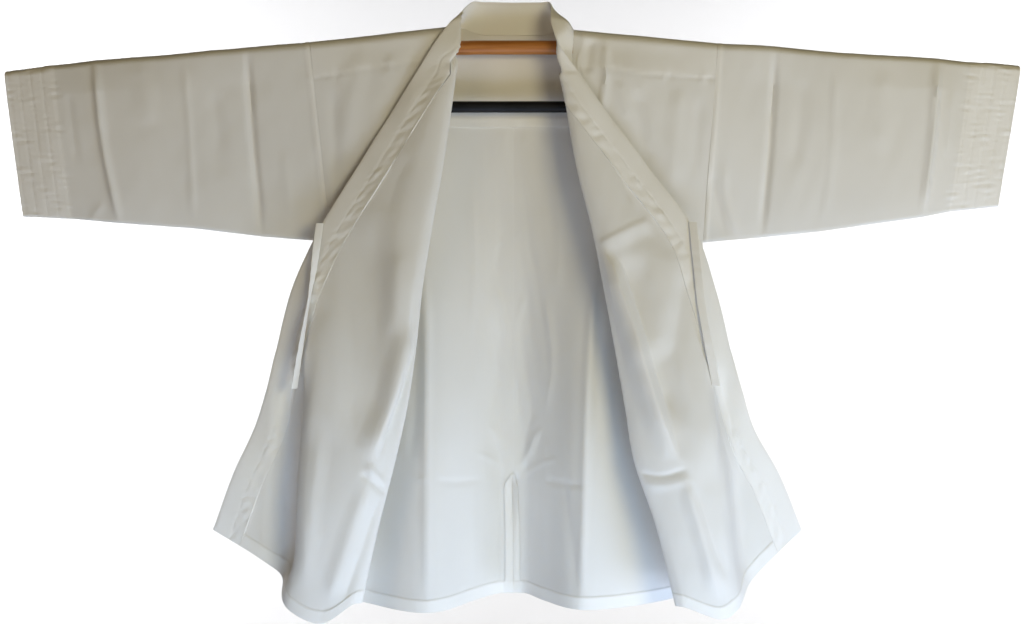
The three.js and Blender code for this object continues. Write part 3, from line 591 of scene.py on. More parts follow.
# %% [markdown]
# ## Creases and puckers
# A pressed crease is a line: the cloth stands a little forward or back beside it, most on the line
# itself. Each crease is placed where the viewer sees it, as distances from the middle and heights
# on the plane through the bar. Widths and heights are millimetres, and a trough has a height
# below 0.

# %% Relief helpers
VIEW_DISTANCE = 2000.0
EYE_Z = -396.6
TIP_WIDTHS, TIPS = (18, 42), (0.12, 0.75)  # a crease's tip is sharp when narrow and round when wide
END_FADE = 0.22
WAVES = 5


def seen(grid):
    """x and z where the viewer sees each point on the plane through the bar: both shrink with distance."""
    nearer = 1 + grid[..., 1] / VIEW_DISTANCE
    return grid[..., 0] / nearer, (grid[..., 2] - EYE_Z) / nearer + EYE_Z


def beside(x, z, places):
    """Signed distance from a smooth curve through places, and the share of its length reached there."""
    knots = np.array(places, float)
    path = through(np.stack([knots[:, 0], 0 * knots[:, 0], knots[:, 1]], 1)[None], 6)[0][:, [0, 2]]
    a, v = path[:-1], np.diff(path, axis=0)
    length = np.hypot(v[:, 0], v[:, 1])
    off = np.stack([x.ravel(), z.ravel()], 1)[:, None] - a
    t = clip01((off * v).sum(-1) / length**2)
    off = off - t[..., None] * v
    far = np.hypot(off[..., 0], off[..., 1])
    row, near = np.arange(len(far)), far.argmin(1)
    left_of = v[near, 0] * off[row, near, 1] - v[near, 1] * off[row, near, 0]
    share = (np.r_[0, np.cumsum(length)][near] + t[row, near] * length[near]) / length.sum()
    return (far[row, near] * np.sign(left_of)).reshape(x.shape), share.reshape(x.shape), length.sum()


def crease_relief(grid, side, creases):
    """Sum of creases: height (1 - d/width)^2 with a rounded tip, fading over both ends."""
    x, z = seen(grid)
    x = x * side.sign
    relief = np.zeros(x.shape)
    for width, height, places in creases:
        xs, zs = zip(*places)
        inner, outer = width if isinstance(width, tuple) else (width, width)
        far = max(inner, outer)
        near = (x > min(xs) - far) & (x < max(xs) + far) & (z > min(zs) - far) & (z < max(zs) + far)
        if not near.any():
            continue
        d, share, _ = beside(x[near], z[near], places)
        wide = np.where(d > 0, outer, inner)
        tip = np.interp(wide, TIP_WIDTHS, TIPS)
        u = np.minimum((np.sqrt((d / wide) ** 2 + tip**2) - tip) / (np.sqrt(1 + tip**2) - tip), 1)
        relief[near] += height * (1 - u) ** 2 * ease(share / END_FADE) * ease((1 - share) / END_FADE)
    return relief


def waviness(x, z, wave, height, seed):
    """Soft unevenness: a few sine waves of about one length, in seeded directions and phases."""
    rng = np.random.default_rng(seed)
    total = 0 * x
    for _ in range(WAVES):
        direction, phase = rng.uniform(0, math.pi), rng.uniform(0, 2 * math.pi)
        k = 2 * math.pi / (wave * rng.uniform(0.7, 1.4))
        total = total + np.sin(k * (x * math.cos(direction) + 0.5 * z * math.sin(direction)) + phase)
    return height * total / 2.2


def puckers(s, d, spacing, reach, height, slant=0.0, seed=1):
    """Ripples across a stitch row: a sine of s whose pace and height drift, fading with distance d."""
    rng = np.random.default_rng(seed)
    pace = 2 * math.pi * s / spacing
    a, b, c = rng.uniform(0, 2 * math.pi, 3)
    drift = 1.8 * np.sin(pace / 5.3 + a) + 1.1 * np.sin(pace / 2.9 + b)
    lift = 0.55 + 0.45 * np.sin(pace / 7.7 + c)
    return height * lift * np.sin(pace + drift + slant * d) * np.exp(-((d / reach) ** 2))


def groove(d, depth, width):
    """The narrow trough that thread pulls into cloth."""
    return depth * np.exp(-((d / width) ** 2))


def forward(grid, looped=False):
    """Unit normals turned towards the viewer, fading to nothing where the cloth is seen edge on."""
    n = normals_of(grid, looped)
    return n * np.clip(-4 * n[..., 1:2], -1, 1)


def lifted(grid, relief, looped=False, at_seam=0.0):
    """Moves the grid by its relief, along its normals, or to the viewer where a seam must stay shut."""
    straight = np.broadcast_to(np.asarray(at_seam, float), relief.shape)[..., None]
    return grid + mix(forward(grid, looped), np.array([0.0, -1.0, 0.0]), straight) * relief[..., None]


# %% [markdown]
# ## Making a cloth mesh
# A grid becomes a thin closed shell: a copy on each side of the middle surface, joined at the rims. The
# same call keeps the grid's own lengths as a UV map in metres, so that the weave follows the threads,
# and marks where the cloth is doubled, because double cloth looks whiter.

# %% Shell builder
MM = 0.001
made = {}


def normals_of(grid, looped=False):
    """Cross product of the grid's two directions at each point, turned to unit length."""
    across = np.roll(grid, -1, 1) - np.roll(grid, 1, 1) if looped else np.gradient(grid, axis=1)
    return unit(np.cross(across, np.gradient(grid, axis=0)))


def area_of(grid, looped=False):
    """Area of the grid's quads, as half of each one's crossed diagonals."""
    g = np.concatenate([grid, grid[:, :1]], axis=1) if looped else grid
    return np.linalg.norm(np.cross(g[1:, 1:] - g[:-1, :-1], g[1:, :-1] - g[:-1, 1:]), axis=2).sum() / 2


def facing_out(points, faces):
    """The faces, turned over where the volume under them comes out negative."""
    v = points[faces[:, :3]]
    volume = np.einsum("ij,ij->", v[:, 0], np.cross(v[:, 1], v[:, 2]))
    return faces[:, ::-1] if volume < 0 else faces


def mesh_from(name, points, faces, material, uv=None, doubled=None, sharp=None):
    """A smooth-shaded object at the origin, with its material and its place on the body."""
    mesh = bpy.data.meshes.new(name)
    mesh.from_pydata(points.tolist(), [], faces)
    if uv is not None:
        layer = mesh.uv_layers.new(name="cloth")
        index = np.empty(len(mesh.loops), dtype=np.int32)
        mesh.loops.foreach_get("vertex_index", index)
        layer.data.foreach_set("uv", uv[index].ravel().astype(np.float32))
        mark = mesh.attributes.new("doubled", "FLOAT", "POINT")
        mark.data.foreach_set("value", doubled.astype(np.float32))
    mesh.shade_smooth()
    if sharp is not None:
        mesh.set_sharp_from_angle(angle=math.radians(sharp))
    mesh.materials.append(material)
    obj = bpy.data.objects.new(name, mesh)
    bpy.context.collection.objects.link(obj)
    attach(obj, "root")
    return obj


def shell(name, grid, thickness, material, looped=False, rim_normal=None, doubled=0.0):
    """Two copies of the grid half the thickness each side of it, their rims joined by quads."""
    rows, cols = grid.shape[:2]
    normal = normals_of(grid, looped)
    if rim_normal is not None:
        normal = rim_normal(normal)
    half = np.broadcast_to(np.asarray(thickness, float), (rows, cols))[..., None] / 2
    points = np.concatenate([grid + normal * half, grid - normal * half]).reshape(-1, 3) * MM
    index = np.arange(rows * cols).reshape(rows, cols)
    if looped:
        index = np.concatenate([index, index[:, :1]], axis=1)
    other = index + rows * cols
    front = np.stack([index[:-1, :-1], index[:-1, 1:], index[1:, 1:], index[1:, :-1]], -1).reshape(-1, 4)
    lines = [(index[0], other[0]), (index[-1, ::-1], other[-1, ::-1])]
    if not looped:
        lines += [(index[::-1, 0], other[::-1, 0]), (index[:, -1], other[:, -1])]
    rims = [np.stack([a[:-1], b[:-1], b[1:], a[1:]], -1) for a, b in lines]
    faces = facing_out(points, np.concatenate([front, front[:, ::-1] + rows * cols, *rims]))
    width, length = reached(grid).mean(axis=0), reached(grid.transpose(1, 0, 2)).mean(axis=0)
    uv = np.stack(np.broadcast_arrays(width[None, :], length[:, None]), -1).reshape(-1, 2) * MM
    mark = np.broadcast_to(np.asarray(doubled, float), (rows, cols)).ravel()
    obj = mesh_from(name, points, faces.tolist(), material, np.concatenate([uv, uv]),
                    np.concatenate([mark, mark]), sharp=60)
    made[name] = grid
    print(f"{name}: {2 * len(faces)} triangles, {length[-1]:.0f} by {width[-1]:.0f} mm")
    return obj


def cloth_piece(name, node, grid, thickness, looped=False, rim_normal=None, doubled=0.0):
    """A shell that stands for a solid, with that solid hidden."""
    obj = shell(name, grid, thickness, white, looped, rim_normal, doubled)
    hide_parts(node)
    across = reached(np.concatenate([grid, grid[:, :1]], axis=1) if looped else grid)[:, -1].max()
    down = reached(grid.transpose(1, 0, 2))[:, -1].max()
    area = min(area_of(grid, looped), across * down)
    return obj


# %% [markdown]
# ## Stitches
# A stitch is a small spindle of thread that lies on the cloth. Rows of them follow lines on the pieces.

# %% Stitch rows
STITCH, PITCH, THREAD = 2.3, 3.1, 0.42
thread_rows = {}


def stitch(name, path, out, lift):
    """Marks a row of stitches along a path, on the side that out points to, lift above the path."""
    marks = reached(path[None])[0]
    at = np.arange(PITCH, marks[-1] - PITCH, PITCH)
    on = lambda line, here: np.stack([np.interp(here, marks, line[:, k]) for k in range(3)], 1)
    place, normal = on(path, at), on(out, at)
    thread_rows.setdefault(name, []).append((place + normal * lift, normal, on(path, at + 0.5) - place))


def sew(name):
    """All rows of one name as one mesh: each stitch has a ring of six points and two tips."""
    place, normal, step = (np.concatenate(part) for part in zip(*thread_rows[name]))
    step, normal = unit(step), unit(normal)
    across = unit(np.cross(step, normal))
    k = np.arange(6)
    turn = k[None, :, None] * math.pi / 3
    ring = (np.cos(turn) * across[:, None] + np.sin(turn) * normal[:, None]) * THREAD / 2
    tips = np.stack([-step, step], 1) * STITCH / 2 - normal[:, None] * THREAD * 0.4
    points = (place[:, None] + np.concatenate([ring, tips], 1)).reshape(-1, 3) * MM
    following = (k + 1) % 6
    one = np.concatenate([np.stack([k, following, 0 * k + 7], 1), np.stack([following, k, 0 * k + 6], 1)])
    faces = (np.arange(len(place))[:, None, None] * 8 + one[None]).reshape(-1, 3)
    print(f"{name}: {len(place)} stitches")
    return mesh_from(name, points, facing_out(points, faces).tolist(), thread)


# %% [markdown]
# ## Cloth, wood and plastic
# The jacket is a thin, smooth white weave of cotton and polyester with a faint sheen. Its colour is
# almost even, so what the eye reads is light on its folds. The weave is a fine bump along the UV
# lengths. The bar is varnished wood, and the lower bar is satin black plastic.


# %% Shader helper
class Socket:
    """Wraps a node's output, so that Python's operators add Math nodes."""

    def __init__(self, tree, output):
        self.tree, self.output = tree, output

    def maths(self, operation, a, b):
        """The result of one operation on two inputs, as a Math node."""
        return add_node(self.tree, "ShaderNodeMath", {"operation": operation}, **{"0": a, "1": b})

    def __add__(self, other):
        return self.maths("ADD", self, other)

    __radd__ = __add__

    def __sub__(self, other):
        return self.maths("SUBTRACT", self, other)

    def __rsub__(self, other):
        return self.maths("SUBTRACT", other, self)

    def __mul__(self, other):
        return self.maths("MULTIPLY", self, other)

    __rmul__ = __mul__

    def sine(self):
        """The sine of this value."""
        return self.maths("SINE", self, 0.0)


def add_node(tree, kind, settings=None, **inputs):
    """A node of a type, with its settings made first and then its inputs, by name or by number."""
    node = tree.nodes.new(kind)
    for key, value in (settings or {}).items():
        if key == "stops":
            ramp = node.color_ramp
            while len(ramp.elements) < len(value):
                ramp.elements.new(0.5)
            for element, (place, colour) in zip(ramp.elements, value):
                element.position, element.color = place, colour
        elif key != "output":
            setattr(node, key, value)
    for key, value in inputs.items():
        socket = node.inputs[int(key) if key.isdigit() else key.replace("_", " ")]
        if isinstance(value, Socket):
            tree.links.new(value.output, socket)
        else:
            socket.default_value = value
    output = (settings or {}).get("output", 0)
    return Socket(tree, node.outputs[output])


class Finish:
    """A new material: its Principled shader, and the few nodes that every finish here is made of."""

    def __init__(self, name):
        self.material = bpy.data.materials.new(name)
        self.material.use_nodes = True
        self.tree = self.material.node_tree
        self.place = self.add("ShaderNodeTexCoord", {"output": 3})

    def add(self, kind, settings=None, **inputs):
        """A node in this material's own tree."""
        return add_node(self.tree, kind, settings, **inputs)

    def noise(self, vector, scale, detail, distortion=0.0):
        """Cloudy unevenness: noise at one scale, with finer layers added as detail grows."""
        return self.add("ShaderNodeTexNoise", {"output": 0}, Vector=vector, Scale=scale, Detail=detail,
                        Distortion=distortion)

    def ramp(self, share, *stops):
        """Colours at stops, each a place and its red, green and blue."""
        stops = [(at, (*colour, 1.0)) for at, colour in stops]
        return self.add("ShaderNodeValToRGB", {"stops": stops}, Fac=share)

    def relief(self, height, strength, distance):
        """A normal tilted by the slope of height, which shows as relief without moving the surface."""
        return self.add("ShaderNodeBump", None, Height=height, Strength=strength, Distance=distance)

    def shade(self, **inputs):
        """Feeds the shader's sockets by name, with links or plain values, and returns the material."""
        shader = self.tree.nodes["Principled BSDF"]
        for key, value in inputs.items():
            socket = shader.inputs[key.replace("_", " ")]
            if isinstance(value, Socket):
                self.tree.links.new(value.output, socket)
            else:
                socket.default_value = value
        return self.material


# %% Cloth and thread
THREAD_SPACING = 0.0009
TINT = np.array([0.80, 0.78, 0.74])


def cloth_material(name, tint):
    """White weave: threads each way as a product of sines, slubs and broad tone as noise."""
    look = Finish(name)
    uv = look.add("ShaderNodeUVMap", {"uv_map": "cloth"})
    u, v = (look.add("ShaderNodeSeparateXYZ", {"output": k}, Vector=uv) for k in (0, 1))
    turns = 2 * math.pi / THREAD_SPACING
    weave = (u * turns).sine() * (v * turns).sine()
    slub = look.noise(uv, 900.0, 2.0)
    soft, tone = look.noise(look.place, 26.0, 4.0), look.noise(look.place, 5.0, 3.0)
    low, high, double = (np.minimum(tint * k, 1.0) for k in (0.965, 1.015, 1.09))
    single = look.ramp(tone, (0.3, low), (0.7, high))
    mark = look.add("ShaderNodeAttribute", {"attribute_name": "doubled", "output": 2})
    colour = look.add("ShaderNodeMix", {"data_type": "RGBA", "output": 2},
                      **{"0": mark, "6": single, "7": (*double, 1.0)})
    return look.shade(
        Base_Color=colour, Roughness=0.62 + slub * 0.14,
        Normal=look.relief(weave * 0.5 + slub * 0.8 + soft * 2.0, 0.35, 0.0002),
        Sheen_Weight=0.15, Sheen_Roughness=0.4, Specular_IOR_Level=0.35)


def thread_material():
    """Bright polyester thread with a twisted strand in its tone."""
    look = Finish("thread")
    strand = look.noise(look.place, 1500.0, 1.0)
    return look.shade(Base_Color=look.ramp(strand, (0.3, (0.78, 0.77, 0.74)), (0.7, (0.9, 0.89, 0.86))),
                      Roughness=0.45)


white, thread = cloth_material("white_cloth", TINT), thread_material()


# %% Wood and plastic
def wood_material():
    """Varnished wood: rings stretched along the bar, darker in the grain."""
    look = Finish("bar_wood")
    stretched = look.add("ShaderNodeMapping", None, Vector=look.place, Scale=(1.4, 22.0, 30.0))
    rings, pores = look.noise(stretched, 7.0, 6.0, distortion=0.6), look.noise(stretched, 60.0, 2.0)
    grain = look.ramp(rings, (0.3, (0.37, 0.125, 0.022)), (0.55, (0.45, 0.165, 0.03)),
                      (0.75, (0.5, 0.2, 0.045)))
    return look.shade(Base_Color=grain, Roughness=0.34 + pores * 0.16, Coat_Roughness=0.2, Coat_Weight=0.05,
                      Normal=look.relief(rings + pores * 0.4, 0.2, 0.0004))


def black_material():
    """Satin black plastic with a fine moulded grain."""
    look = Finish("bar_black")
    grain, tone = look.noise(look.place, 700.0, 2.0), look.noise(look.place, 14.0, 3.0)
    return look.shade(Base_Color=look.ramp(tone, (0.3, (0.006, 0.006, 0.008)), (0.7, (0.012, 0.012, 0.015))),
                      Roughness=0.38 + grain * 0.15, Normal=look.relief(grain, 0.15, 0.0002),
                      Specular_IOR_Level=0.2)


wood, black = wood_material(), black_material()
print("finishes:", ", ".join(look.name for look in (white, thread, wood, black)))

# %% [markdown]
# ## Creases of the fronts
# The layer turned back shows the jacket's inner side. A second fold runs down it like a ridge, pinched
# where it was once pressed, with a deep hollow beside it, and the edge flares beyond a deep valley.
# The outer side shows only above, between the collar and the sleeve. Each crease is a width, a height
# and its places. Where the width is a pair, its first number is for one side of the line and its second
# for the other.

# %% Crease tables of the fronts: width, height, places
left_over = [
    ((14, 34), 6.0, [(142, -412), (162, -474), (184, -545), (216, -628)]),
    ((16, 12), -5.0, [(130, -400), (151, -474), (172, -545), (203, -628)]),
    (8, 2.2, [(222, -622), (200, -644), (176, -668)]),
    (9, -2.6, [(230, -636), (206, -655), (182, -678)]),
    (24, 3.2, [(213, -650), (243, -733), (279, -842)]),
    (18, -3.0, [(198, -672), (225, -754), (256, -838)]),
    (20, -12.0, [(322, -460), (334, -550), (341, -640), (345, -720), (348, -830)]),
    (34, -12.0, [(316, -440), (330, -540), (339, -640), (343, -720), (346, -830)]),
    (24, 2.6, [(285, -560), (300, -679), (314, -820)]),
    ((44, 60), -6.5, [(212, -240), (210, -380), (206, -600)]),
    (52, 5.0, [(296, -320), (288, -450), (288, -610)]),
    (20, -0.9, [(150, -160), (172, -200), (186, -252)]),
    (26, 1.8, [(168, -300), (176, -380), (186, -440)]),
]
right_over = [
    ((36, 9), 9.0, [(126, -290), (153, -332), (164, -364), (182, -416), (209, -506), (253, -630)]),
    ((12, 40), -9.0, [(146, -296), (170, -332), (182, -366), (198, -416), (222, -500), (250, -580)]),
    (30, -2.5, [(216, -430), (240, -529), (268, -622)]),
    (22, 4.0, [(256, -632), (284, -727), (311, -832)]),
    (16, -2.4, [(272, -650), (300, -740), (322, -800)]),
    ((26, 9), 1.5, [(122, -300), (150, -284), (178, -270), (214, -254)]),
    (26, -1.6, [(140, -310), (164, -300), (216, -276)]),
    (9, -2.0, [(170, -630), (222, -643), (268, -630)]),
    (14, 1.6, [(176, -650), (230, -657), (276, -643)]),
    (44, 3.6, [(246, -280), (222, -394), (200, -490)]),
    (22, -2.2, [(262, -330), (250, -400), (238, -480)]),
    (11, 1.2, [(319, -530), (322, -705)]),
    (26, -6.0, [(300, -470), (318, -560), (330, -640), (338, -720), (345, -830)]),
    ((64, 18), 6.0, [(276, -290), (288, -420), (300, -540), (308, -660)]),
    (14, 1.5, [(212, -240), (228, -262), (244, -300)]),
    (12, -1.2, [(145, -150), (160, -185), (180, -235)]),
]
left_under = [
    (28, 2.0, [(225, 6), (243, -94), (251, -160)]),
    (24, -2.4, [(131, 12), (161, -49), (200, -112)]),
    (18, -1.8, [(268, -60), (263, -199)]),
    (14, 1.2, [(284, -150), (262, -250)]),
    (10, 1.0, [(180, -10), (196, -52)]),
    (30, 2.4, [(180, -420), (200, -600), (214, -790)]),
    (26, -2.2, [(250, -380), (262, -560), (270, -760)]),
]
right_under = [
    (9, 4.4, [(139, 22), (141, -34), (134, -106)]),
    (12, -2.8, [(118, 16), (112, -40)]),
    (8, 2.6, [(97, 12), (93, -34)]),
    (24, 2.6, [(252, -50), (245, -139), (238, -220)]),
    (22, -2.4, [(188, -58), (198, -139), (212, -180)]),
    (16, -1.6, [(283, -70), (272, -200)]),
    (12, 1.4, [(160, -48), (176, -110)]),
    (28, 2.2, [(186, -430), (205, -610), (226, -790)]),
    (26, -2.4, [(258, -370), (268, -560), (274, -740)]),
]
shoulder_rows = {
    "left": [(300, -47), (273, -43), (200, -31), (132, -21)],
    "right": [(96, -35), (132, -30), (192, -41), (304, -47)],
}

# %% [markdown]
# ## Creases of the back and the sleeves
# The back's two pleats are sharp below. Its middle is crumpled by finer lines that gather at the top of
# the vent. Each sleeve keeps three creases from its folding.

# %% Crease tables of the back and the sleeves
left_back_creases = [
    (13, 5.0, [(131, -310), (128, -424), (128, -604), (126, -860)]),
    (14, -2.0, [(141, -380), (146, -500), (150, -640)]),
    (6, 1.3, [(27, -298), (16, -292), (8, -284)]),
    (8, -1.3, [(15, -276), (26, -345)]),
    (9, 2.2, [(26, -352), (9, -424), (8, -470)]),
    (9, 2.2, [(19, -446), (5, -514), (13, -589)]),
    (12, -2.0, [(34, -400), (24, -480), (28, -560)]),
    (8, 2.4, [(3, -636), (13, -604), (34, -560)]),
    (7, 1.3, [(5, -642), (24, -622), (56, -606)]),
    (8, 1.2, [(144, -650), (126, -645)]),
    (10, -1.0, [(40, -646), (80, -652), (118, -650)]),
    (16, 1.2, [(62, -200), (56, -330), (60, -450)]),
    (5, 0.8, [(9, -122), (14, -160)]),
]
right_back_creases = [
    (13, 5.0, [(127, -276), (118, -424), (114, -499), (108, -679), (103, -858)]),
    (14, -2.0, [(132, -380), (128, -500), (124, -640)]),
    (9, 2.4, [(20, -364), (4, -434), (11, -480)]),
    (9, 2.0, [(9, -470), (20, -530), (14, -590)]),
    (12, 1.9, [(50, -370), (61, -470), (52, -540)]),
    (10, 1.8, [(35, -550), (30, -620)]),
    (6, 1.4, [(17, -272), (4, -286)]),
    (8, -1.0, [(22, -286), (34, -340)]),
    (8, 2.6, [(7, -638), (26, -606), (44, -566)]),
    (7, 1.3, [(9, -646), (48, -622), (72, -618)]),
    (9, -1.3, [(46, -648), (87, -655), (114, -655)]),
    (16, -2.2, [(75, -628), (87, -724), (100, -830)]),
    (18, 1.4, [(66, -180), (72, -300), (64, -380)]),
    (5, 0.8, [(8, -122), (6, -156)]),
    (5, 0.7, [(20, -122), (22, -150)]),
]
left_sleeve_creases = [
    (11, 5.0, [(627, -8), (614, -140), (586, -274)]),
    (11, -5.0, [(398, 8), (389, -137), (374, -294)]),
    (10, 1.6, [(492, -8), (483, -146), (477, -276)]),
    (26, 1.6, [(560, -20), (540, -120)]),
    (24, -1.6, [(448, -60), (436, -200)]),
    (16, 1.3, [(344, -150), (330, -260)]),
    (14, -1.2, [(666, -60), (652, -180)]),
    (12, 1.2, [(612, -230), (634, -262)]),
]
right_sleeve_creases = [
    (11, -5.0, [(396, 8), (387, -143), (373, -294)]),
    (11, 5.0, [(640, -8), (628, -160), (613, -264)]),
    (10, 1.6, [(485, -16), (480, -172), (463, -276)]),
    (14, -2.2, [(298, -180), (308, -235), (324, -288)]),
    (13, 1.8, [(318, -170), (322, -230), (344, -288)]),
    (26, 1.8, [(560, -30), (548, -160)]),
    (24, -1.6, [(436, -40), (424, -190)]),
    (14, 1.2, [(660, -60), (650, -170)]),
]
for side, over, under, on_back, on_sleeve in (
        (left, left_over, left_under, left_back_creases, left_sleeve_creases),
        (right, right_over, right_under, right_back_creases, right_sleeve_creases)):
    side.over, side.under, side.back_creases, side.sleeve_creases = over, under, on_back, on_sleeve
print(sum(len(side.over) + len(side.under) for side in (left, right)), "creases on the fronts")

# %% [markdown]
# ## The jacket's panels
# A panel's grid is made with rows at fixed distances above its hem, so that the turned-up cloth and its
# stitch row follow the edge. Then its relief is added, and the cloth is thickened.

# %% Panel helpers
UNDER, FOLD, OVER = 40, 16, 92
ROLL = 22
HEM_MARKS = np.array([24, 20.5, 18.6, 17.6, 16, 13, 10, 7, 4, 1.6, 0])
HEM_STITCHES = 4
HEM_LIFT = 0.35
ROW_PITCH = 3.0  # the mean distance between rows near the hem


def with_hem(grid):
    """The same grid with its last rows set at HEM_MARKS above the hem, along each column."""
    chain = grid.transpose(1, 0, 2)
    marks = reached(chain)
    total = marks[:, -1:]
    kept = marks[:, : -len(HEM_MARKS)]
    upper = kept * (total - HEM_MARKS[0] - ROW_PITCH) / kept[:, -1:]
    return along(chain, np.concatenate([upper, total - HEM_MARKS[None]], axis=1)).transpose(1, 0, 2)


def hem_share(rows):
    """0 above the hem and 1 on its turned-up rows."""
    share = np.zeros(rows)
    share[-len(HEM_MARKS) + 3:] = 1
    return share[:, None]


def pinned(axis, first_row=False, first_col=False):
    """A rim whose face stands square to its neighbour: one part of its normal is taken out."""
    def fix(n):
        """Sets that part to 0 along the rim and brings the normals back to length 1."""
        n = n.copy()
        if first_row:
            n[0, :, axis] = 0
        if first_col:
            n[:, 0, axis] = 0
        return n / np.linalg.norm(n, axis=2, keepdims=True)
    return fix


def signed(grid, side):
    """Seen places with x counted from the middle outwards."""
    x, z = seen(grid)
    return x * side.sign, z


def hem_puckers(grid, spacing, height, seed):
    """Ripples along the hem's stitch row, fading up and down from it."""
    up = (np.arange(len(grid))[:, None] - len(grid) + 8) * ROW_PITCH
    return puckers(reached(grid[-1:])[0][None], up, spacing, 7, height, seed=seed)


def free_of_shoulder(rows):
    """0 at the shoulder line and 1 from the seventh row on, so that fronts and backs meet."""
    return clip01(np.arange(rows)[:, None] / 6)


def sew_hem(name, grid, out):
    """The stitches of the hem, along the grid row at the fourth of HEM_MARKS counted from 0."""
    row = HEM_STITCHES - len(HEM_MARKS)
    stitch(name, grid[row], out[row], 0.8)


# %% Fronts
for number, side in enumerate((left, right)):
    grid = with_hem(front_grid(side, front_levels, (UNDER, FOLD, OVER), ROLL))
    rows, cols = grid.shape[:2]
    column = np.arange(cols)[None]
    over = ease((column - UNDER - FOLD * 0.55) / (FOLD * 0.45))
    under = ease((UNDER + FOLD * 0.45 - column) / (FOLD * 0.45))
    x, z = signed(grid, side)
    relief = over * crease_relief(grid, side, side.over) + under * crease_relief(grid, side, side.under)
    uneven = waviness(x, z, 95, 0.7, 11 + number) + waviness(x, z, 34, 0.16, 21 + number)
    relief = relief + (over + under) * uneven
    d, share, length = beside(x, z, shoulder_rows[side.name])
    gathers = puckers(share * length, d, 9, 9, 1.2, seed=31 + number)
    relief = relief + under * (gathers - groove(d, 0.7, 1.6))
    hem = hem_share(rows)
    relief = relief + hem * HEM_LIFT + hem_puckers(grid, 8, 0.3, 41 + number) * (over + under)
    relief *= free_of_shoulder(rows)
    grid = lifted(grid, relief, at_seam=ease((column - cols + 9) / 7))
    grid[0, :, 1] = np.minimum(grid[0, :, 1], -SEAM_GAP / 2)
    yoke = under * ease((z - np.interp(x, *zip(*sorted(shoulder_rows[side.name])))) / 3)
    cloth_piece("cloth_front_" + side.name, "front_" + side.name, grid,
                mix(CLOTH, HEM_CLOTH, hem) + 0.2 * yoke,
                rim_normal=pinned(1, first_row=True),
                doubled=np.maximum(np.broadcast_to(hem, x.shape), 0.6 * yoke))
    out = forward(grid)
    sew_hem("stitches_front_" + side.name, grid, out)
    columns = np.arange(UNDER)
    at = np.abs(d[:, :UNDER]).argmin(0)
    keep = np.abs(d[at, columns]) < 3
    stitch("stitches_front_" + side.name, grid[at, columns][keep], out[at, columns][keep], 0.5)

# %% Backs
for number, side in enumerate((left, right)):
    grid = with_hem(back_grid(side, back_levels, 5, ROLL))
    rows, cols = grid.shape[:2]
    x, z = signed(grid, side)
    relief = crease_relief(grid, side, side.back_creases) + waviness(x, z, 90, 0.8, 51 + number)
    crumpled = ease((70 - x) / 40) * ease((-z - 120) / 60)
    relief = relief + waviness(x, z * 0.35, 19, 0.42, 61 + number) * crumpled
    relief = relief + hem_puckers(grid, 9, 0.35, 71 + number)
    hem = hem_share(rows)
    relief = relief * mix(0.25, 1, ease(np.arange(cols)[None] / 5)) + hem * HEM_LIFT
    edge_x = grid[:, 0, 0].copy()
    grid = lifted(grid, relief * free_of_shoulder(rows))
    grid[:, 0, 0] = edge_x
    cloth_piece("cloth_back_" + side.name, "back_" + side.name, grid, mix(CLOTH, HEM_CLOTH, hem),
                rim_normal=pinned(0, first_col=True), doubled=hem)
    sew_hem("stitches_back_" + side.name, grid, forward(grid))

# %% [markdown]
# ## Yoke lining and vent facings
# Inside the upper back lies a second layer. It is sewn in at the neck and the armholes, and its lower
# edge is turned under and stitched down. Below, a narrow facing finishes each edge of the centre vent.

# %% Lining
LINING_OFFSET = 1.4
LINING_BOTTOM = -116.3
LINING_TURN = 12.0


def lining_half(side):
    """Half of the lining: the back's own surface, moved in."""
    grid = back_grid(side, np.linspace(FIRST_LEVEL, LINING_BOTTOM, 30), 5, 30)[3:, 4:]
    return lifted(grid, np.full(grid.shape[:2], LINING_OFFSET))


halves = [lining_half(side) for side in (left, right)]
bridge = mix(halves[0][:, :1], halves[1][:, :1], (np.arange(1, 8) / 8)[None, :, None])
grid = np.concatenate([halves[0][:, ::-1], bridge, halves[1]], axis=1)
x, z = seen(grid)
across = reached(grid[-1:])[0][None]
up = reached(grid[::-1].transpose(1, 0, 2)).T[::-1]
slanting_fold = 0.8 * clip01(up / 10) * np.exp(-(((x + 40 + 0.5 * z) / 16) ** 2))
relief = waviness(x, z, 60, 0.45, 81) + slanting_fold + puckers(across, up - 13, 11, 7, 0.3, seed=82)
strip = 1 - ease((up - LINING_TURN) / 2)
middle_room = np.exp(-((grid[-1:, :, 0] / 300) ** 8))
grid = lifted(grid, (np.maximum(relief, -0.3) + 0.3 * strip) * middle_room)
cloth_piece("cloth_yoke_lining", "yoke_lining", grid, 0.7 + 0.5 * strip,
            doubled=strip)
out = forward(grid)
row = np.abs(up[:, grid.shape[1] // 2] - LINING_TURN).argmin()
stitch("stitches_lining", grid[row], out[row], 0.6)
stitch("stitches_lining", grid[-3], out[-3], 0.8)

# %% Vent facings
FACING_OFFSET = 1.7
FACING_WIDTHS, FACING_TAPER = (2.5, 12), 24

for side in (left, right):
    back = made["cloth_back_" + side.name]
    rows = (back[:, 0, 2] < VENT_TOP - 1) & (back[:, 0, 2] > side.back_hem["centre"] + HEM_DEPTH)
    width = mix(*FACING_WIDTHS, ease((VENT_TOP - back[rows, 0, 2]) / FACING_TAPER))
    strip = along(back[rows], mix(0.5, width[:, None], np.linspace(0, 1, 9)[None]))
    wave = waviness(strip[..., 0], strip[..., 2], 30, 0.15, 91)
    strip = strip + forward(strip) * (FACING_OFFSET + wave)[..., None]
    cloth_piece("cloth_vent_facing_" + side.name, "vent_facing_" + side.name, strip, 0.7,
                doubled=1.0)
    out = forward(strip)
    for column in (-2, 1):
        stitch("stitches_vent", strip[:, column], out[:, column], 0.4)

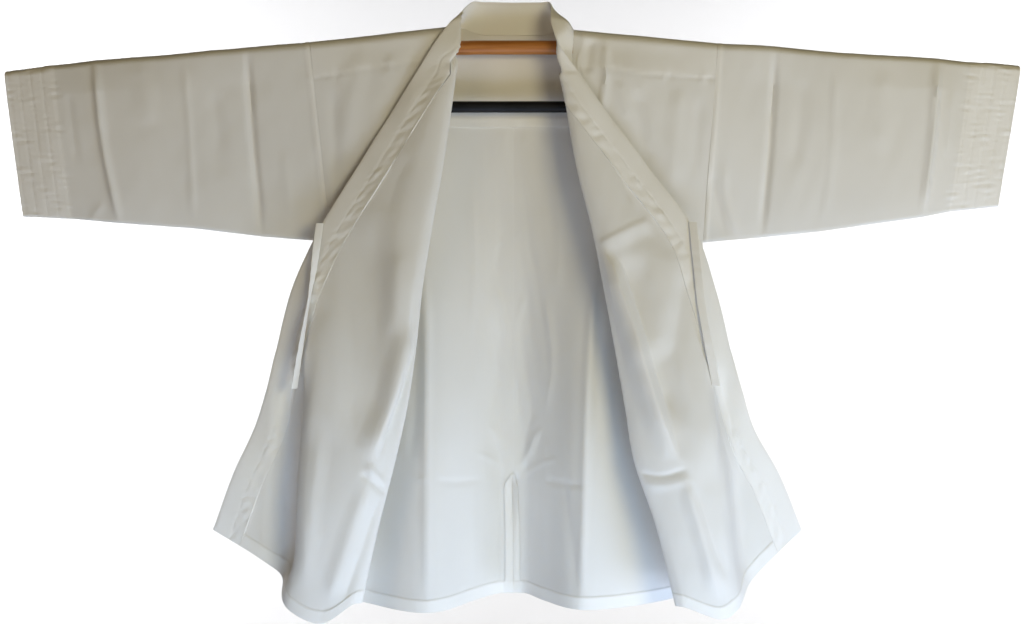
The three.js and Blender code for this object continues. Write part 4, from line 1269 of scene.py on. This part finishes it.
# %% [markdown]
# ## Sleeves and their cuffs
# Each cuff is turned in by 74 mm and held by five rows of stitches, which draw the doubled cloth into
# small puckers. The armhole seam is pressed towards the sleeve and stitched down beside it.

# %% Sleeves
CUFF_ROWS = np.array([72, 55, 38, 21, 5])
CUFF_CLOTH = 1.4
for number, side in enumerate((left, right)):
    places = np.r_[np.linspace(0, 4, 108)[:-1], np.linspace(4, 5, 42)]
    grid = sleeve_grid(side, places, 64)
    grid[0, :, 0] += side.sign * SEAM_GAP
    rows, cols = grid.shape[:2]
    x, z = signed(grid, side)
    to_end = reached(grid[::-1].transpose(1, 0, 2)).T[::-1]
    from_seam = reached(grid.transpose(1, 0, 2)).T
    round_it = reached(grid[:1])[0][None]
    cuff = ease((CUFF_DEPTH + 2 - to_end) / 3)
    relief = crease_relief(grid, side, side.sleeve_creases)
    relief = relief + waviness(x, z, 90, 0.8, 101 + number) + waviness(x, z, 30, 0.15, 103 + number)
    for k, distance in enumerate(CUFF_ROWS):
        gap = to_end - distance
        gathers = puckers(round_it, gap, 10.5, 8, 0.85, slant=0.03, seed=111 + 10 * number + k)
        relief = relief + gathers - groove(gap, 0.45, 2.0)
    seam_band = ease((8 - from_seam) / 1.5)
    relief = relief + 0.7 * seam_band + 0.35 * cuff
    relief = relief + puckers(round_it, from_seam - 8, 12, 5, 0.35, seed=131 + number)
    off_top = ease((0.995 - np.abs(np.linspace(-1, 1, cols))[None]) * 40)
    relief = relief * clip01(from_seam / 2 + 0.25) * off_top
    front_layer = np.arange(cols)[None] < cols / 2
    grid = lifted(grid, np.where(front_layer, relief, 0.8 * relief), looped=True)
    cloth_piece("cloth_sleeve_" + side.name, "sleeve_" + side.name, grid,
                mix(CLOTH, CUFF_CLOTH, cuff) + 0.5 * seam_band * clip01(from_seam / 2),
                looped=True, doubled=0.8 * np.maximum(cuff, seam_band))
    normal = normals_of(grid, looped=True)
    if (normal[:, cols // 4, 1] > 0).mean() > 0.5:
        normal = -normal
    rows_sewn = [(np.abs(to_end[:, 0] - distance).argmin(), 0.75) for distance in CUFF_ROWS]
    for row, lift in rows_sewn + [(np.abs(from_seam[:, 0] - 7).argmin(), 0.7)]:
        stitch("stitches_sleeve_" + side.name, grid[row], normal[row], lift)

# %% [markdown]
# ## Collar band
# The band is doubled cloth. A row of stitches holds it 18 mm from its seam, and between the two the
# cloth puckers aslant. Where the ties are sewn in, short rows cross the band.

# %% Collar band
BAND_SHARES = np.array([0, 0.03, 0.08, 0.15, 0.22, 0.29, 0.35, 0.385, 0.41, 0.44, 0.5, 0.57, 0.64, 0.72, 0.8,
                        0.88, 0.94, 0.98, 1.0])
STITCHED, STITCHED_AT = 8, 18
TIE_ROWS = (-262, -267, -276, -281)
grid = collar_grid(front_levels, BAND_SHARES, 6)
rows, cols = grid.shape[:2]
x, z = seen(grid)
s = reached(grid[:, cols // 2][None])[0][:, None]
centre = np.abs(s - s[-1] / 2)
d = BAND_SHARES[None] * BAND_WIDTH
below_neck = ease((centre - 190) / 60)
creases = 0
for side in (left, right):
    mine = (x * side.sign > 0) & (grid[..., 2] < -60)
    shared = np.where(mine, crease_relief(grid, side, side.over), 0)
    creases = creases + shared * ease((-grid[..., 2] - 60) / 60)
inner = ease(d / 4) * ease((19 - d) / 4) * ease((centre - 170) / 80)
gathers = puckers(s + 0.6 * d, 0 * d, 23, 30, 0.36, seed=141) + waviness(s, 4.4 * d, 23, 0.45, 142)
along_row = puckers(s + 0.5 * d, d - STITCHED_AT, 13, 6, 0.3, seed=143) - groove(d - STITCHED_AT, 0.35, 1.6)
relief = creases + inner * gathers + along_row + waviness(x, z, 70, 0.5, 144)
relief = relief * ease((centre - 60) / 90) + groove(d, 0.55, 3) * below_neck
grid = lifted(grid, relief, at_seam=ease((24 - d) / 14) * below_neck)
round_edge = mix(1.0, 0.45, ease((d - 42.5) / 2.5))
cloth_piece("cloth_collar", "collar_band", grid, BAND_CLOTH * round_edge,
            doubled=1.0)
out = forward(grid)
stitch("stitches_collar", grid[:, STITCHED], out[:, STITCHED], 0.95)
for side in (left, right):
    for level in TIE_ROWS:
        row = np.where(x[:, 0] * side.sign > 0, np.abs(z[:, 9] - level), 1e9).argmin()
        stitch("stitches_collar", grid[row, 2:], out[row, 2:], 0.95)

# %% [markdown]
# ## Ties
# Each tie is a narrow doubled strap with stitched edges, cut square at its end and twisted as it hangs.

# %% Ties
TIE_COLUMNS = 9
for side in (left, right):
    grid = tie_grid(side, 110, TIE_COLUMNS)
    s = reached(grid[:, TIE_COLUMNS // 2][None])[0][:, None]
    u = np.linspace(-1, 1, TIE_COLUMNS)[None]
    wave = puckers(s, 0 * u, 17, 9, 0.35, seed=151) * np.abs(u)
    grid = grid + normals_of(grid) * wave[..., None]
    piece = shell("cloth_tie_" + side.name, grid, 1.3 - 0.5 * np.abs(u) ** 6, white, doubled=1.0)
    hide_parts("tie_" + side.name)

for name in thread_rows:
    sew(name)

# %% [markdown]
# ## The hanger
# A varnished wooden bar rises at the shoulders and ends inside the sleeves, and a black bar hangs below
# it from two thin links. Each is a ring carried along a path, with rounded ends.

# %% Rods
SLEEVE_SINK, SHOULDER_SINK = 11.8, 14.2
LOWER_Z, LOWER_RADIUS, LOWER_HALF = -89, 8.5, 190
LINK_X, LINK_RADIUS = 168, 3.0
ROUND_SIZES = [0.72, 0.9]
TOWARDS_VIEWER = np.array([0.0, -1.0, 0.0])


def rod(name, node, knots, radius, material, around=36):
    """Rings along a smooth path in the upright plane; the first and last rings shrink to round the ends."""
    path = through(np.array(knots, float)[None], 14)[0]
    marks = reached(path[None])[0]
    ends, length = radius * 0.3, marks[-1]
    s = np.r_[0, ends * 0.3, ends, np.linspace(ends, length - ends, len(path))[1:-1], length - ends,
              length - ends * 0.3, length]
    size = np.ones(len(s))
    size[:2], size[-2:] = ROUND_SIZES, ROUND_SIZES[::-1]
    place = np.stack([np.interp(s, marks, path[:, k]) for k in range(3)], 1)
    up = np.cross(unit(np.gradient(place, axis=0)), TOWARDS_VIEWER)
    turn = np.arange(around)[None, :, None] * 2 * math.pi / around
    ring = np.cos(turn) * TOWARDS_VIEWER + np.sin(turn) * up[:, None]
    rings = place[:, None] + radius * size[:, None, None] * ring
    points = np.concatenate([rings.reshape(-1, 3), place[[0, -1]]]) * MM
    index = np.arange(len(s) * around).reshape(len(s), around)
    following = np.roll(index, -1, axis=1)
    walls = np.stack([index[:-1], following[:-1], following[1:], index[1:]], -1).reshape(-1, 4)
    first = np.stack([following[0], index[0], np.full(around, len(s) * around)], 1)
    last = np.stack([index[-1], following[-1], np.full(around, len(s) * around + 1)], 1)
    caps = np.concatenate([first, last])
    if (facing_out(points, walls)[0] != walls[0]).any():
        walls, caps = walls[:, ::-1], caps[:, ::-1]
    obj = mesh_from(name, points, walls.tolist() + caps.tolist(), material, sharp=50)
    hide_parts(node)
    print(f"{name}: {length:.0f} mm long")


def arm(side):
    """The wooden bar's places from the shoulder out into the sleeve."""
    top_x, top_z = side.sleeve["topX"], side.sleeve["topZ"]
    on_shoulder = [(x, shoulder_z(side, x) - SHOULDER_SINK) for x in (150, 220, 290)]
    in_sleeve = [(top_x[i], top_z[i] - SLEEVE_SINK) for i in (1, 2, 3)]
    end = (top_x[5] - 60, mix(top_z[4], top_z[5], 0.3) - SLEEVE_SINK)
    return [(side.sign * x, 0, z) for x, z in (*on_shoulder, *in_sleeve, end)]


# %% Hanger
middle = [(x, 0, 0) for x in (-88, -50, 0, 40, 70)]
rod("wooden_bar", "hanger_bar", arm(left)[::-1] + middle + arm(right), BAR_RADIUS, wood)
rod("lower_bar", "hanger_lower_bar", [(x, 0, LOWER_Z) for x in (-LOWER_HALF, 0, LOWER_HALF)], LOWER_RADIUS,
    black)
for side in (left, right):
    x = side.sign * LINK_X
    top = shoulder_z(side, LINK_X) - SHOULDER_SINK - BAR_RADIUS - 2 * SEAM_GAP
    ends = [(x, 0, LOWER_Z + LOWER_RADIUS + SEAM_GAP), (x, 0, top)]
    rod("link_" + side.name, "hanger_link_" + side.name, ends, LINK_RADIUS, black, around=16)

# %% [markdown]
# ## Floor, light and camera
# A pale sheet of paper curves up behind the jacket. The light comes from large soft lamps. The broad key
# stands at the right and a weak warm lamp at the left. Low lamps in front are cooler, which makes the
# lower half whiter and bluer than the sleeves, as daylight from a low window would. One lamp behind shows
# the back, and two tall ones light the paper. Their powers were fitted.

# %% Studio
FLOOR_Z, BEND_RADIUS = -1.75, 1.2
PAPER_NEAR, PAPER_WALL, PAPER_HALF, PAPER_TOP = -8.0, 5.0, 9.0, 4.5


def backdrop():
    """A strip whose profile is a flat floor, a quarter circle and a wall, carried along X."""
    bend = np.linspace(0, math.pi / 2, 17)
    y = np.r_[PAPER_NEAR, PAPER_WALL - BEND_RADIUS + BEND_RADIUS * np.sin(bend), PAPER_WALL]
    z = np.r_[0, BEND_RADIUS - BEND_RADIUS * np.cos(bend), PAPER_TOP] + FLOOR_Z
    x = np.array([-PAPER_HALF, PAPER_HALF])
    points = np.stack(np.broadcast_arrays(x[None, :], y[:, None], z[:, None]), -1).reshape(-1, 3)
    index = np.arange(len(points)).reshape(-1, 2)
    mesh = bpy.data.meshes.new("studio_paper")
    faces = np.stack([index[:-1, 0], index[:-1, 1], index[1:, 1], index[1:, 0]], -1)
    mesh.from_pydata(points.tolist(), [], faces.tolist())
    mesh.shade_smooth()
    mesh.materials.append(Finish("paper").shade(Base_Color=(0.93, 0.93, 0.93, 1), Roughness=0.9))
    obj = bpy.data.objects.new("studio_paper", mesh)
    bpy.context.collection.objects.link(obj)
    print("paper", PAPER_HALF * 2, "m wide")


backdrop()


# %% Lamps
def lamp(name, place, aim, size, power, colour, spread=180):
    """A soft rectangle of light, turned towards its aim."""
    data = bpy.data.lights.new(name, "AREA")
    data.shape, data.size, data.size_y = "RECTANGLE", size[0], size[1]
    data.energy, data.color, data.spread = power, colour, math.radians(spread)
    obj = bpy.data.objects.new(name, data)
    bpy.context.collection.objects.link(obj)
    obj.location = place
    obj.rotation_euler = (Vector(aim) - Vector(place)).to_track_quat("-Z", "Y").to_euler()


lamp("key_right", (1.3, -2.2, -0.1), (0.0, 0.0, -0.3), (1.0, 1.0), 22.3, (1.0, 0.89, 0.55))
lamp("low_middle", (0.0, -0.8, -1.45), (0.0, 0.0, -0.85), (1.8, 0.5), 9.6, (0.54, 0.70, 1.0))
lamp("low_right", (1.3, -0.7, -1.25), (0.2, 0.0, -0.7), (0.7, 0.6), 10.6, (0.60, 0.73, 1.0))
lamp("low_front", (0.5, -2.1, -1.1), (0.0, 0.0, -0.9), (0.8, 0.5), 0.5, (0.42, 0.70, 1.0), spread=40)
lamp("on_collar", (0.0, -1.6, 0.35), (0.0, 0.0, 0.05), (0.2, 0.1), 0.01, (1.0, 0.93, 0.72), spread=14)
lamp("warm_left", (-1.6, -1.9, -0.1), (0.0, 0.0, -0.3), (1.0, 1.0), 5.5, (1.0, 0.76, 0.44))
lamp("back_top", (0.0, 3.2, 1.7), (0.0, 0.0, -0.3), (1.8, 1.0), 14, (1.0, 0.95, 0.85))
for name, x in (("paper_left", -3.5), ("paper_right", 3.5)):
    lamp(name, (x, 2.4, 0.2), (0.3 * x, 5.0, -0.4), (0.8, 2.4), 125, (0.98, 0.98, 1.0))
world = bpy.data.worlds.new("studio")
world.use_nodes = True
sky = world.node_tree.nodes["Background"].inputs
sky["Color"].default_value, sky["Strength"].default_value = (1.0, 0.94, 0.85, 1), 0.01
bpy.context.scene.world = world
bpy.context.scene.view_settings.view_transform = "Standard"
print(len(bpy.data.lights), "lamps")

# %% Camera
IMAGE_WIDTH, PIXEL, SENSOR = 1024, 0.0015, 36.0
camera = bpy.data.objects.new("camera", bpy.data.cameras.new("camera"))
bpy.context.collection.objects.link(camera)
camera.location = (0.0, -VIEW_DISTANCE * MM, EYE_Z * MM)
camera.rotation_euler = (math.pi / 2, 0, 0)
camera.data.sensor_width = SENSOR
camera.data.lens = SENSOR * VIEW_DISTANCE * MM / (PIXEL * IMAGE_WIDTH)
bpy.context.scene.camera = camera
print("lens", camera.data.lens, "mm")
